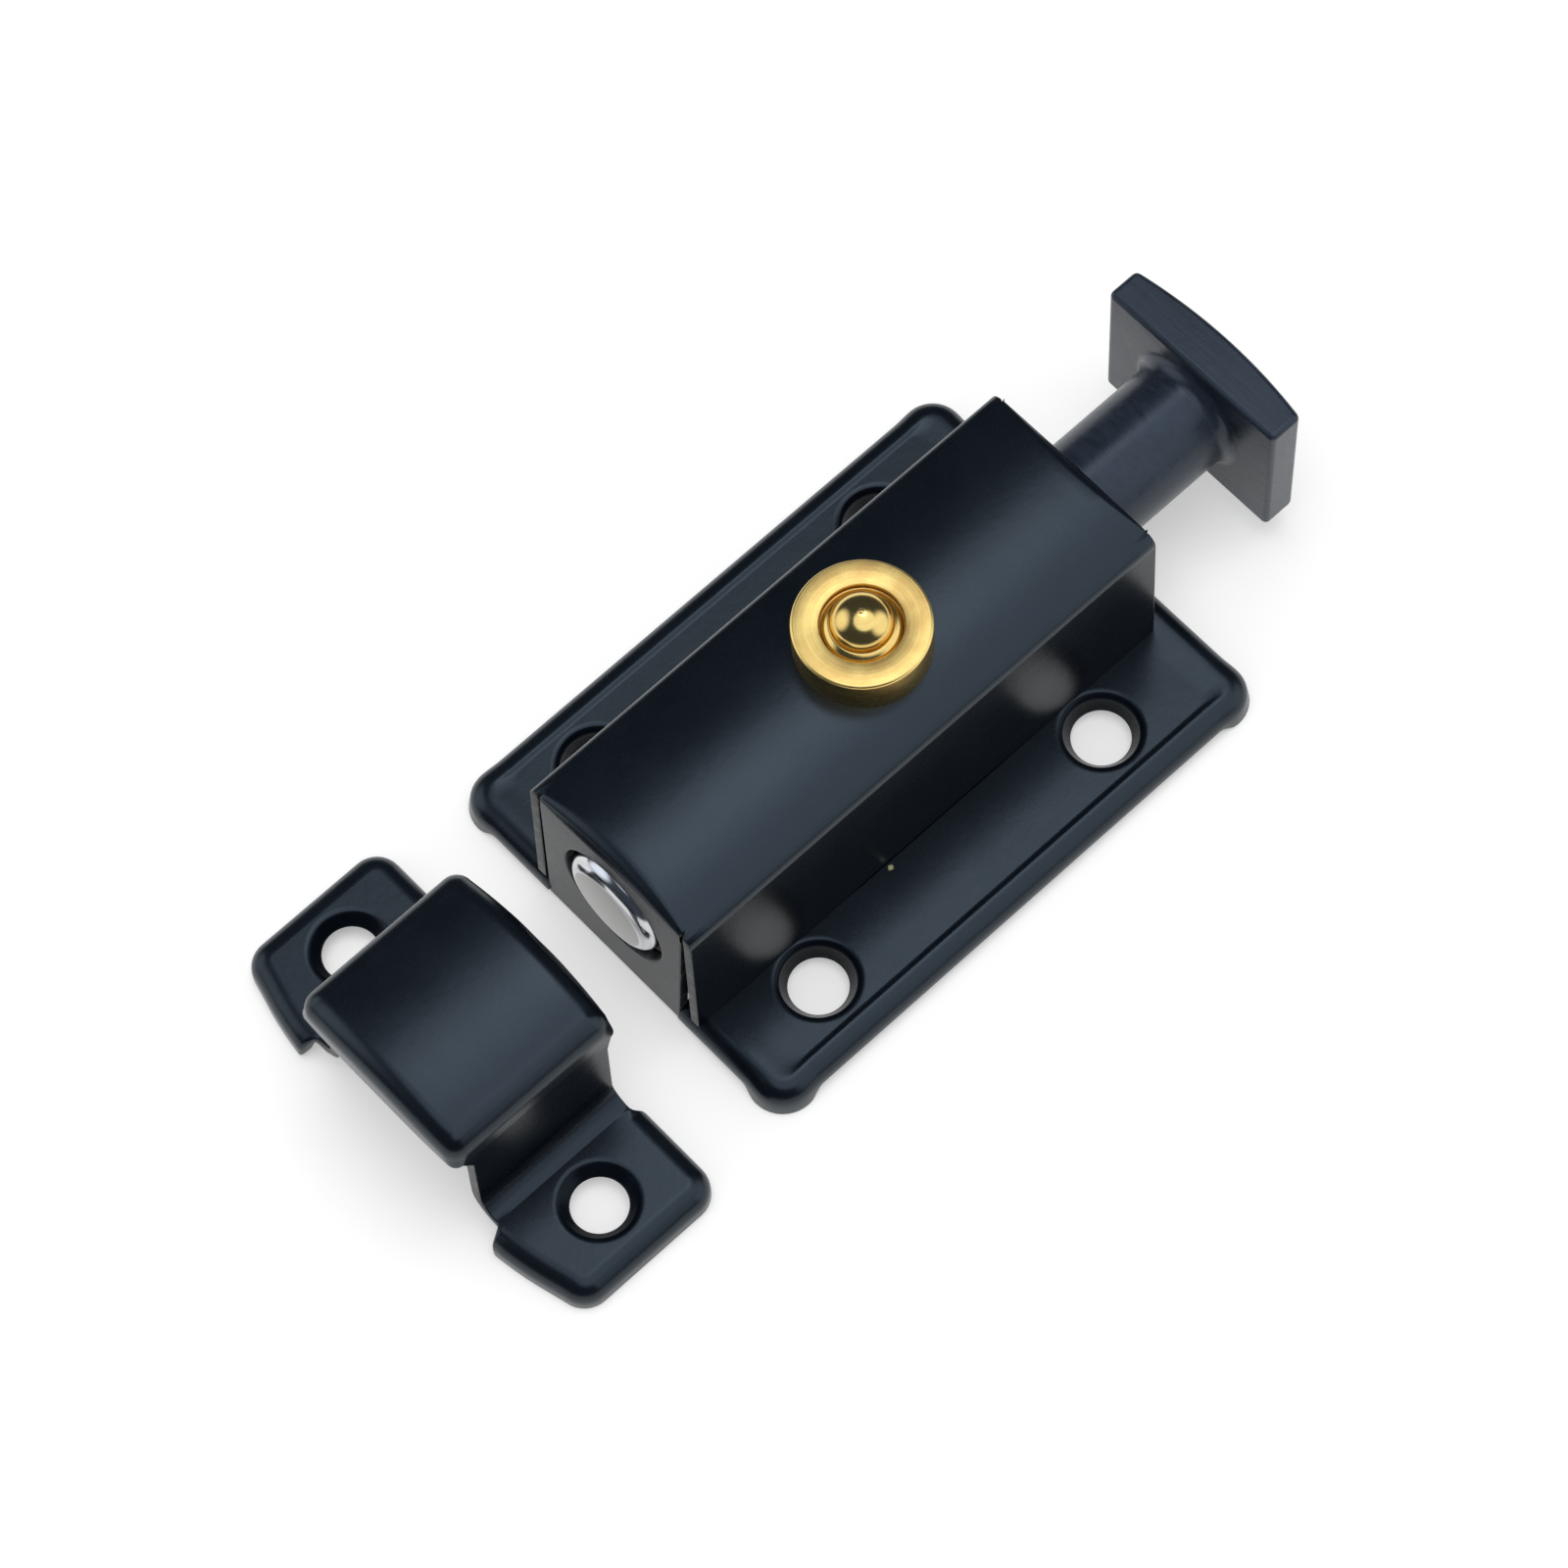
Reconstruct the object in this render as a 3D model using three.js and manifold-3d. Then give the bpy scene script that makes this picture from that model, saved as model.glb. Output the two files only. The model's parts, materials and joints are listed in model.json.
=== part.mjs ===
// Push-button bolt latch with a T knob, and the keeper that its bolt shoots into.
//
// Pushing the knob drives the bolt forward until the lock shoulder of the button pin springs up into
// a pocket in the bolt. Pressing the button frees the bolt and its return spring draws it back.
// The set stands as it is stored: bolt back, keeper in front of it, both on one mounting surface.
//
// Millimetres. +Z is up off the mounting surface and +X runs along the bolt towards the keeper.
// Pieces are placed from the centre of the plate's four screw holes; the whole set is then moved
// along X, so that the origin is under the middle of its bounding box.

import * as THREE from 'three';
import { mergeVertices } from 'three/addons/utils/BufferGeometryUtils.js';
import Module from 'manifold-3d';

const wasm = await Module();
wasm.setup();

// ---------------------------------------------------------------------------------------------
// Driving dimensions
// ---------------------------------------------------------------------------------------------

// Base plate: a pressed sheet with its rim turned down, left deeper at the four corners
const PLATE_LENGTH = 45.0;
const PLATE_WIDTH = 32.5;
const PLATE_HEIGHT = 2.3;
const PLATE_SHEET = 1.0;
const PLATE_BEND = 1.4;
const PLATE_CORNER = 2.3;
const PLATE_SETBACK = 0.9; // plate centre behind the centre of its screw holes
const EAR_REACH = 0.1; // full depth of an ear beyond the plan's rounded corner
const EAR_RAMP = 1.5;
const EAR_DROP = 0.7;
const EAR_FLARE = 0.25;

// Screw holes, each at the bottom of a pressed dimple
const HOLE_SPACING_X = 26.5;
const HOLE_SPACING_Y = 22.0;
const HOLE_DIAMETER = 4.2;
const DIMPLE_DIAMETER = 7.1;
const DIMPLE_DEPTH = 1.6;
const DIMPLE_LIP = 0.45;
const DIMPLE_LAND = 0.15;
const DIMPLE_WALL_HEAD = 0.6; // share of the sheet that is left in a dimple's wall at its mouth
const DIMPLE_WALL_FOOT = 0.75; // and at its hole

// Bolt and its return spring
const BOLT_DIAMETER = 8.2;
const BOLT_NOSE_RADIUS = 0.35;
const BOLT_PROUD = 0.45;
const BOLT_STROKE = 10.3;
const BOLT_BORE_CLEARANCE = 0.6;
const SPRING_WIRE = 0.7;
const SPRING_CLEARANCE = 0.35;
const SPRING_TURNS = 6.5;
const SNAP_RING_THICKNESS = 0.8;
const SNAP_RING_DEPTH = 0.5;
const SNAP_RING_OPENING = 44; // degrees of a snap ring that are left open
const WASHER_THICKNESS = 0.6;

// Folded cover
const COVER_SHEET = 0.8;
const COVER_CAMBER = 1.1;
const COVER_SHOULDER = 0.75;
const COVER_SPLAY = 0.2;
const COVER_SIDE_ROOM = 1.9;
const COVER_HEADROOM = 1.0;
const COVER_FLOOR_ROOM = 2.05;
const COVER_FRONT_SETBACK = 0.15; // foot of the front tab behind the plate's front edge
const COVER_REAR_SETBACK = 2.2;
const COVER_LEAN = 0.35;
const FRONT_ROLL = 1.2;
const REAR_ROLL = 0.95;
const SLIT_TOP = 0.2;
const SLIT_FOOT_LEFT = 0.3;
const SLIT_FOOT_RIGHT = 1.25;
const TAB_FOOT = 0.5;
const LUG_SPACING = 9.0;
const LUG_LENGTH = 3.6;
const LUG_REACH = 2.6;
const LUG_BEND = 0.7;

// Button collar
const BUTTON_X = -1.7;
const COLLAR_DIAMETER = 9.5;
const COLLAR_STAND = 2.75;
const COLLAR_BORE = 5.7;
const COLLAR_EDGE = 0.25;
const COLLAR_SEAT = 0.25;
const SPIGOT_DIAMETER = 7.3;
const SWAGE_DIAMETER = 8.6;
const SWAGE_THICKNESS = 0.6;

// Button pin
const HEAD_DIAMETER = 4.95;
const HEAD_EDGE = 0.2;
const DOME_DIAMETER = 4.0;
const DOME_HEIGHT = 1.85;
const NECK_DIAMETER = 2.4;
const LOCK_DIAMETER = 4.4;
const LOCK_HEIGHT = 1.6;
const LOCK_FLAT_DROP = 1.5; // milled flat below the bolt's axis
const LOCK_CLIP_DIAMETER = 5.6;
const LOCK_CLIP_THICKNESS = 0.5;
const LOCK_CLIP_DEPTH = 0.24;
const TAIL_LENGTH = 1.0;
const BUTTON_TRAVEL = 1.3;
const BUTTON_SPRING_WIRE = 0.45;
const BUTTON_SPRING_TURNS = 4.0;

// T knob
const SHAFT_DIAMETER = 8.2;
const KNOB_WIDTH = 15.8;
const KNOB_HEIGHT = 12.7;
const KNOB_DROP = 0.35; // middle of the knob's plate below the bolt's axis
const KNOB_THICKNESS = 2.65;
const KNOB_BULGE = 0.75;
const KNOB_EDGE = 0.35;
const KNOB_STANDOFF = 0.6; // left between the knob and the cover when the bolt is out
const FLARE_RADIUS = 1.1;
const FLARE_HEIGHT = 0.95;
const STUD_DIAMETER = 4.6;
const STUD_LENGTH = 3.0;
const KNOB_PIN_DIAMETER = 1.2;
const KNOB_PIN_INSET = 0.3; // ends of the pin below the bolt's surface

// Keeper: one drawn strap, straight towards the latch and bowed on its far side
const KEEPER_GAP = 6.2;
const KEEPER_HALF_LENGTH = 17.3;
const KEEPER_WIDTH = 14.15;
const KEEPER_BOW = 2.3;
const KEEPER_BOW_POWER = 3.5; // keeps the far side nearly straight until close to the ends
const KEEPER_SHEET = 0.9;
const KEEPER_BEND = 1.35;
const KEEPER_CORNER = 2.0;
const KEEPER_HOLE_SPREAD = 25.0;
const KEEPER_DIMPLE_DEPTH = 1.0;
const KEEPER_HOLE_DIAMETER = 4.0;
const KEEPER_CLEARANCE = 0.45;
const BRIDGE_CAMBER = 0.95;
const BRIDGE_SIDE_ROOM = 2.55;
const BRIDGE_SHOULDER = 1.5;
const BRIDGE_ROLL = 1.6;
const BRIDGE_BULGE = 0.4; // middle of the bridge nearer the latch than the feet
const BRIDGE_TOP_CORNER = 1.8;
const FLANGE_CORNER = 0.4; // the flanges are drawn sharper at their lower edge
const FLANGE_DEPTH = 2.2;
const LEG_WAIST_NEAR = 0.8;
const LEG_WAIST_FAR = 1.4;
const LEG_LEAN = 0.2;
const LEG_BEND = 0.7;
const FOOT_CORNER = 1.6;
const FOOT_STANDOFF = 0.5; // corners of a foot beyond the leg

// Fits
const RUN_GAP = 0.3; // between pieces that move past each other
const FIT_GAP = 0.12; // between pieces that are fixed together
const SEAT_GAP = 0.1; // between a spring or ring and what it bears on

const PAST = 1.0; // how far a cut runs on past the face that it leaves through

// ---------------------------------------------------------------------------------------------
// Places worked out from the dimensions
// ---------------------------------------------------------------------------------------------

const plateFront = PLATE_LENGTH / 2 - PLATE_SETBACK;
const plateRear = plateFront - PLATE_LENGTH;
const earLength = PLATE_CORNER + EAR_REACH;

const boltRadius = BOLT_DIAMETER / 2;
const springInner = boltRadius + SPRING_CLEARANCE;
const springOuter = springInner + SPRING_WIRE;
const axisZ = PLATE_HEIGHT + COVER_FLOOR_ROOM + springOuter;
const boltTop = axisZ + boltRadius;

const coverFront = plateFront - COVER_FRONT_SETBACK;
const coverRear = plateRear + COVER_REAR_SETBACK;
const coverHalf = springOuter + COVER_SIDE_ROOM + COVER_SHEET;
const coverCrown = axisZ + springOuter + COVER_HEADROOM + COVER_SHEET;
const coverFrontInside = coverFront - COVER_LEAN - COVER_SHEET;

const pocketX = BUTTON_X - BOLT_STROKE;
const lockClipRadius = LOCK_CLIP_DIAMETER / 2;
const lockClipGroove = NECK_DIAMETER / 2 - LOCK_CLIP_DEPTH;
const recessFront = BUTTON_X + lockClipRadius + RUN_GAP;
const recessRear = pocketX - lockClipRadius - RUN_GAP;
const lockFlat = axisZ - LOCK_FLAT_DROP;

const boltTip = coverFront + BOLT_PROUD;
const boltRear = recessRear - FIT_GAP - STUD_LENGTH;
const snapRingX = Math.max(recessFront, BUTTON_X + SWAGE_DIAMETER / 2 + RUN_GAP) + SNAP_RING_THICKNESS;
const washerX = coverFrontInside - SEAT_GAP - WASHER_THICKNESS;

const collarSeat = coverCrown - COLLAR_SEAT;
const collarTop = coverCrown + COLLAR_STAND;

const headTop = collarTop - SEAT_GAP;
const headFoot = boltTop + BUTTON_TRAVEL + RUN_GAP;
const lockTop = lockFlat - SEAT_GAP;
const lockFoot = lockTop - LOCK_HEIGHT;
const lockClipFoot = lockFoot - LOCK_CLIP_THICKNESS;

const knobInner = coverRear - BOLT_STROKE - KNOB_STANDOFF;
const knobOuter = knobInner - KNOB_THICKNESS - KNOB_BULGE;

const keeperNear = plateFront + KEEPER_GAP;
const keeperFar = keeperNear + KEEPER_WIDTH;
const keeperHoleX = keeperNear + (KEEPER_WIDTH - KEEPER_BOW / 3) / 2;
const bridgeCrown = boltTop + KEEPER_CLEARANCE + KEEPER_SHEET;
const bridgeHalf = boltRadius + BRIDGE_SIDE_ROOM + KEEPER_SHEET;
const shoulderHalf = bridgeHalf + LEG_LEAN;
const flangeFoot = bridgeCrown - BRIDGE_CAMBER - FLANGE_DEPTH;

const setMiddle = (knobOuter + keeperFar) / 2;

// ---------------------------------------------------------------------------------------------
// Solids
// ---------------------------------------------------------------------------------------------

const X = new THREE.Vector3(1, 0, 0);
const Y = new THREE.Vector3(0, 1, 0);
const Z = new THREE.Vector3(0, 0, 1);

// A prism's outline is drawn in (x, y), (y, z) or (x, z).
const UPRIGHT = new THREE.Matrix4();
const ALONG_X = new THREE.Matrix4().makeBasis(Y, Z, X);
const ALONG_Y = new THREE.Matrix4().makeBasis(X, Z, Y.clone().negate());

/** Closed solid of indexed points, turned right side out. */
function fromTriangles(positions, triangles) {
  const point = (i) => new THREE.Vector3().fromArray(positions, 3 * i);
  let volume = 0;
  for (let t = 0; t < triangles.length; t += 3) {
    const [a, b, c] = [0, 1, 2].map((k) => point(triangles[t + k]));
    volume += a.dot(b.cross(c));
  }
  const turned = volume < 0 ? [...triangles].reverse() : triangles;
  const mesh = new wasm.Mesh({
    numProp: 3,
    vertProperties: new Float32Array(positions),
    triVerts: new Uint32Array(turned),
  });
  return new wasm.Manifold(mesh);
}

/** Closed solid of a three.js geometry. */
function solid(geometry) {
  const bare = new THREE.BufferGeometry();
  bare.setAttribute('position', geometry.getAttribute('position').clone());
  bare.setIndex(geometry.index);
  const merged = mergeVertices(bare, 1e-4);
  const corners = merged.index.array;
  const triangles = [];
  for (let t = 0; t < corners.length; t += 3) {
    const [a, b, c] = corners.slice(t, t + 3);
    if (a !== b && b !== c && c !== a) {
      triangles.push(a, b, c);
    }
  }
  return fromTriangles([...merged.getAttribute('position').array], triangles);
}

/** Geometry of a finished solid. */
function geometryOf(body) {
  const mesh = body.getMesh();
  const geometry = new THREE.BufferGeometry();
  geometry.setAttribute('position', new THREE.BufferAttribute(mesh.vertProperties, 3));
  geometry.setIndex(new THREE.BufferAttribute(mesh.triVerts, 1));
  geometry.computeVertexNormals();
  return geometry;
}

/** Outline of [u, v] points, extruded from one distance to another along the frame's axis. */
function prism(outline, from, to, frame = UPRIGHT, options = {}) {
  const shape = outline instanceof THREE.Shape
    ? outline
    : new THREE.Shape(outline.map(([u, v]) => new THREE.Vector2(u, v)));
  const settings = { depth: to - from, bevelEnabled: false, curveSegments: 24, ...options };
  const geometry = new THREE.ExtrudeGeometry(shape, settings);
  return solid(geometry.translate(0, 0, from).applyMatrix4(frame));
}

/** Profile of [radius, height] points, turned about an upright axis through the origin. */
function turned(profile, segments = 32) {
  const points = profile.map(([radius, height]) => new THREE.Vector2(radius, height));
  return solid(new THREE.LatheGeometry(points, segments).rotateX(Math.PI / 2));
}

/** The same, turned about the bolt's axis, with each height a place along X. */
function turnedOnBolt(profile, segments = 32) {
  const points = profile.map(([radius, x]) => new THREE.Vector2(radius, x));
  const geometry = new THREE.LatheGeometry(points, segments).rotateZ(-Math.PI / 2);
  return solid(geometry.translate(0, 0, axisZ));
}

/** Solid through rings of equally many points, capped at both ends. */
function loft(rings, flatten) {
  const count = rings[0].length;
  const triangles = [];
  for (let r = 0; r + 1 < rings.length; r += 1) {
    for (let i = 0; i < count; i += 1) {
      const j = (i + 1) % count;
      const [a, b, c, d] = [r * count + i, r * count + j, (r + 1) * count + j, (r + 1) * count + i];
      triangles.push(a, b, c, a, c, d);
    }
  }
  const last = (rings.length - 1) * count;
  for (const [a, b, c] of THREE.ShapeUtils.triangulateShape(rings[0].map(flatten), [])) {
    triangles.push(c, b, a);
  }
  for (const [a, b, c] of THREE.ShapeUtils.triangulateShape(rings.at(-1).map(flatten), [])) {
    triangles.push(last + a, last + b, last + c);
  }
  return fromTriangles(rings.flat().flatMap((p) => [p.x, p.y, p.z]), triangles);
}

/** Points on an arc, both ends included, as [u, v]. */
function arc(centreU, centreV, radius, fromDegrees, toDegrees, steps) {
  return Array.from({ length: steps + 1 }, (_, i) => {
    const angle = THREE.MathUtils.degToRad(fromDegrees + ((toDegrees - fromDegrees) * i) / steps);
    return [centreU + radius * Math.cos(angle), centreV + radius * Math.sin(angle)];
  });
}

/** A closed anticlockwise loop moved inwards, each point by its own depth. */
function insetLoop(loop, depthAt) {
  return loop.map((point, i) => {
    const before = loop[(i + loop.length - 1) % loop.length];
    const after = loop[(i + 1) % loop.length];
    const into = point.clone().sub(before).normalize();
    const onward = after.clone().sub(point).normalize();
    const inward = new THREE.Vector2(-into.y - onward.y, into.x + onward.x).normalize();
    const cosine = inward.x * -into.y + inward.y * into.x;
    return point.clone().addScaledVector(inward, depthAt(point) / cosine);
  });
}

/** Upright cylinder standing at a place on the plan. */
function post(x, y, radius, from, to, segments = 24) {
  return turned([[0, from], [radius, from], [radius, to], [0, to]], segments).translate(x, y, 0);
}

// ---------------------------------------------------------------------------------------------
// Pressed sheet
// ---------------------------------------------------------------------------------------------

/** Block under a pressed sheet's top face, its upper edge rounded by the bend. */
function pressedBlock(loop, top, foot, bend, flareAt) {
  const steps = 5;
  const ring = (z, depthAt) => insetLoop(loop, depthAt).map((p) => new THREE.Vector3(p.x, p.y, z));
  const rings = [ring(foot, (p) => -flareAt(p)), ring(top - bend, (p) => -flareAt(p) / 3)];
  for (const [cosine, sine] of arc(0, 0, 1, 90 / steps, 90, steps - 1)) {
    rings.push(ring(top - bend * (1 - sine), () => bend * (1 - cosine)));
  }
  return loft(rings, (p) => new THREE.Vector2(p.x, p.y));
}

/** Sheet with its rim turned down all round to the mounting surface. */
function pressedTray(loop, { top, sheet, bend, flareAt = () => 0 }) {
  const outside = pressedBlock(loop, top, 0, bend, flareAt);
  const insideLoop = insetLoop(loop, () => sheet);
  const inside = pressedBlock(insideLoop, top - sheet, -PAST, bend - sheet, flareAt);
  return outside.subtract(inside);
}

/** Sheet metal round a countersunk dimple, and the space that the dimple and its hole leave. */
function dimple({ holeDiameter, depth, top, sheet }) {
  const hole = holeDiameter / 2;
  const mouth = DIMPLE_DIAMETER / 2;
  const foot = top - depth;
  const metal = turned([
    [0, foot],
    [hole + sheet * DIMPLE_WALL_FOOT, foot],
    [mouth + sheet * DIMPLE_WALL_HEAD, top - sheet],
    [mouth + sheet * DIMPLE_WALL_HEAD, top - sheet / 2],
    [0, top - sheet / 2],
  ]);
  const space = turned([
    [0, foot - PAST],
    [hole, foot - PAST],
    [hole, foot + DIMPLE_LAND],
    [mouth - DIMPLE_LIP, top - DIMPLE_LIP / 2],
    [mouth, top],
    [mouth, top + PAST],
    [0, top + PAST],
  ]);
  return { metal, space };
}

/** Adds dimples to a sheet at the given places. */
function withDimples(sheetBody, places, sizes) {
  const { metal, space } = dimple(sizes);
  return places.reduce(
    (body, [x, y]) => body.add(metal.translate(x, y, 0)).subtract(space.translate(x, y, 0)),
    sheetBody,
  );
}

/** Mirror images of a solid on the two sides of the bolt. */
function bothSides(body) {
  return body.add(body.mirror([0, 1, 0]));
}

// ---------------------------------------------------------------------------------------------
// Base plate
// ---------------------------------------------------------------------------------------------

/** Plan of the plate, with points where the ears begin and end. */
function plateLoop() {
  const halfLength = PLATE_LENGTH / 2;
  const halfWidth = PLATE_WIDTH / 2;
  const middle = (plateFront + plateRear) / 2;
  const breaks = [earLength, earLength + EAR_RAMP];
  const quarter = [
    ...breaks.toReversed().map((d) => [halfLength, halfWidth - d]),
    ...arc(halfLength - PLATE_CORNER, halfWidth - PLATE_CORNER, PLATE_CORNER, 0, 90, 6),
    ...breaks.map((d) => [halfLength - d, halfWidth]),
  ];
  const flipped = (signX, signY) => quarter.map(([x, y]) => [signX * x, signY * y]);
  return [
    ...flipped(1, 1),
    ...flipped(-1, 1).reverse(),
    ...flipped(-1, -1),
    ...flipped(1, -1).reverse(),
  ].map(([x, y]) => new THREE.Vector2(middle + x, y));
}

/** How far the rim flares out at a point of the plan: only round the corners. */
function earFlare(point) {
  const fromEndX = Math.min(plateFront - point.x, point.x - plateRear);
  const fromEndY = PLATE_WIDTH / 2 - Math.abs(point.y);
  const reach = earLength + EAR_RAMP / 2;
  return fromEndX < reach && fromEndY < reach ? EAR_FLARE : 0;
}

/** Relief under one side of the rim, between its two ears, as a solid to cut away. */
function rimRelief(halfSide, place, frame) {
  const foot = halfSide - earLength;
  const head = foot - EAR_RAMP;
  const outline = [
    [-foot, -PAST], [foot, -PAST], [foot, 0], [head, EAR_DROP], [-head, EAR_DROP], [-foot, 0],
  ];
  return prism(outline, place - PLATE_BEND, place + PLATE_BEND, frame);
}

function basePlate() {
  const tray = pressedTray(plateLoop(), {
    top: PLATE_HEIGHT, sheet: PLATE_SHEET, bend: PLATE_BEND, flareAt: earFlare,
  });
  const middle = (plateFront + plateRear) / 2;
  const longRelief = rimRelief(PLATE_LENGTH / 2, PLATE_WIDTH / 2, ALONG_Y).translate(middle, 0, 0);
  const holes = [1, -1].flatMap((x) => [1, -1].map((y) => [x * HOLE_SPACING_X / 2, y * HOLE_SPACING_Y / 2]));
  const notchLeft = SLIT_FOOT_LEFT - RUN_GAP - coverHalfAt(PLATE_HEIGHT, COVER_SHEET);
  const notchRight = coverHalfAt(PLATE_HEIGHT, COVER_SHEET) - SLIT_FOOT_RIGHT + RUN_GAP;
  const notchBack = coverFront - COVER_LEAN - COVER_SHEET - RUN_GAP;
  const over = PLATE_HEIGHT + PAST;
  const notch = prism(
    [[notchLeft, -PAST], [notchRight, -PAST], [notchRight, over], [notchLeft, over]],
    notchBack, plateFront + PAST, ALONG_X,
  );
  const slotIn = coverHalf + COVER_SPLAY - COVER_SHEET - FIT_GAP;
  const slotOut = coverHalf + COVER_SPLAY + FIT_GAP;
  const slotHalf = LUG_LENGTH / 2 + FIT_GAP;
  const slot = prism(
    [[-slotHalf, slotIn], [slotHalf, slotIn], [slotHalf, slotOut], [-slotHalf, slotOut]],
    -PAST, over,
  );
  const slots = slot.translate(LUG_SPACING / 2, 0, 0).add(slot.translate(-LUG_SPACING / 2, 0, 0));
  const holeSizes = {
    holeDiameter: HOLE_DIAMETER, depth: DIMPLE_DEPTH, top: PLATE_HEIGHT, sheet: PLATE_SHEET,
  };
  return withDimples(tray, holes, holeSizes)
    .subtract(bothSides(longRelief))
    .subtract(rimRelief(PLATE_WIDTH / 2, plateFront, ALONG_X))
    .subtract(rimRelief(PLATE_WIDTH / 2, plateRear, ALONG_X))
    .subtract(notch)
    .subtract(bothSides(slots));
}

// ---------------------------------------------------------------------------------------------
// Folded cover
// ---------------------------------------------------------------------------------------------

const skim = 0.02; // keeps the rolled ends just clear of the crown they run into

/** Half width of the cover's walls at a height, less the inset. */
function coverHalfAt(z, inset) {
  const shoulderZ = coverCrown - COVER_CAMBER;
  return coverHalf + (COVER_SPLAY * (shoulderZ - z)) / (shoulderZ - PLATE_HEIGHT) - inset;
}

/** Section across the bolt: splayed walls, rounded shoulders and a cambered top. */
function coverSection(inset, foot) {
  const radius = (coverHalf ** 2 + COVER_CAMBER ** 2) / (2 * COVER_CAMBER);
  const crownAt = (y) => coverCrown - radius + Math.sqrt((radius - inset) ** 2 - y ** 2);
  const half = coverHalf - inset;
  const bend = Math.max(COVER_SHOULDER - inset, 0.1);
  const shape = new THREE.Shape();
  shape.moveTo(-coverHalfAt(foot, inset), foot);
  shape.lineTo(coverHalfAt(foot, inset), foot);
  shape.lineTo(half, crownAt(half) - bend);
  shape.quadraticCurveTo(half, crownAt(half), half - bend, crownAt(half - bend));
  const steps = 14;
  for (let i = 1; i < steps; i += 1) {
    const y = (half - bend) * (1 - (2 * i) / steps);
    shape.lineTo(y, crownAt(y));
  }
  shape.lineTo(bend - half, crownAt(half - bend));
  shape.quadraticCurveTo(-half, crownAt(half), -half, crownAt(half) - bend);
  return shape;
}

/** Side view of the cover: leaning front tab, rolled front and rear edges, upright rear tab. */
function coverProfile(inset, foot) {
  const front = coverFront - inset;
  const frontTop = front - COVER_LEAN;
  const rear = coverRear + inset;
  const top = coverCrown + skim;
  const frontBend = FRONT_ROLL - inset;
  const rearBend = Math.max(REAR_ROLL - inset, 0.1);
  return [
    [rear, foot],
    [front, foot],
    ...arc(frontTop - frontBend, top - inset - frontBend, frontBend, 0, 90, 6),
    ...arc(rear + rearBend, top - inset - rearBend, rearBend, 90, 180, 4),
  ];
}

/** The cover's outside, or its inside when inset by the sheet. */
function coverBlock(inset, foot) {
  const [from, to] = [coverRear - PAST, coverFront + PAST];
  const section = prism(coverSection(inset, foot), from, to, ALONG_X, { curveSegments: 4 });
  const reach = coverHalf + COVER_SPLAY + PAST;
  return section.intersect(prism(coverProfile(inset, foot), -reach, reach, ALONG_Y));
}

/** Slit between an end tab and the right side wall, with the space under the wall's end. */
function tabSlit(from, to, footWidth) {
  const top = coverCrown - FRONT_ROLL;
  const shave = 0.03;
  const wall = (z) => coverHalfAt(z, COVER_SHEET) + shave;
  const reach = coverHalf + COVER_SPLAY + PAST;
  const foot = 0;
  return prism([
    [wall(top) - SLIT_TOP, top],
    [wall(PLATE_HEIGHT) - footWidth, foot],
    [reach, foot],
    [reach, PLATE_HEIGHT],
    [wall(PLATE_HEIGHT), PLATE_HEIGHT],
    [wall(top), top],
  ], from, to, ALONG_X);
}

/** Lug of a side wall, through its slot and clinched inwards under the plate. */
function clinchLug() {
  const outer = coverHalf + COVER_SPLAY;
  const inner = outer - COVER_SHEET;
  const under = PLATE_HEIGHT - PLATE_SHEET - FIT_GAP;
  const foot = under - LUG_BEND;
  return prism([
    [outer, PLATE_HEIGHT + COVER_SHEET],
    [inner, PLATE_HEIGHT + COVER_SHEET],
    [inner, under],
    [outer - LUG_REACH, under],
    [outer - LUG_REACH, foot],
    ...arc(outer - LUG_BEND, foot + LUG_BEND, LUG_BEND, -90, 0, 3),
  ], -LUG_LENGTH / 2, LUG_LENGTH / 2, ALONG_X);
}

function housing() {
  const shell = coverBlock(0, TAB_FOOT).subtract(coverBlock(COVER_SHEET, TAB_FOOT - PAST));
  const behind = coverRear - PAST;
  const underWalls = prism(
    [[behind, 0], [coverFrontInside, 0], [coverFrontInside, PLATE_HEIGHT], [behind, PLATE_HEIGHT]],
    -PLATE_WIDTH / 2, PLATE_WIDTH / 2, ALONG_Y,
  );
  const frontSlit = (footWidth) => tabSlit(coverFrontInside - FIT_GAP, coverFront + PAST, footWidth);
  const rearSlit = tabSlit(behind, coverRear + COVER_SHEET + FIT_GAP, SLIT_FOOT_RIGHT);
  const bore = boltRadius + BOLT_BORE_CLEARANCE;
  const borings = turnedOnBolt([
    [0, behind], [bore, behind], [bore, coverFront + PAST], [0, coverFront + PAST],
  ]).translate(0, 0, -BOLT_BORE_CLEARANCE / 2);
  const collarHole = post(BUTTON_X, 0, SPIGOT_DIAMETER / 2 + FIT_GAP, boltTop, coverCrown + PAST, 32);
  const collarSpot = post(BUTTON_X, 0, COLLAR_DIAMETER / 2 + FIT_GAP, collarSeat, coverCrown + PAST, 32);
  const lug = clinchLug();
  const lugs = lug.translate(LUG_SPACING / 2, 0, 0).add(lug.translate(-LUG_SPACING / 2, 0, 0));
  return shell
    .subtract(underWalls)
    .subtract(frontSlit(SLIT_FOOT_RIGHT))
    .subtract(frontSlit(SLIT_FOOT_LEFT).mirror([0, 1, 0]))
    .subtract(bothSides(rearSlit))
    .subtract(borings)
    .subtract(collarHole)
    .subtract(collarSpot)
    .add(bothSides(lugs));
}

// ---------------------------------------------------------------------------------------------
// Bolt, its rings and springs
// ---------------------------------------------------------------------------------------------

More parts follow.
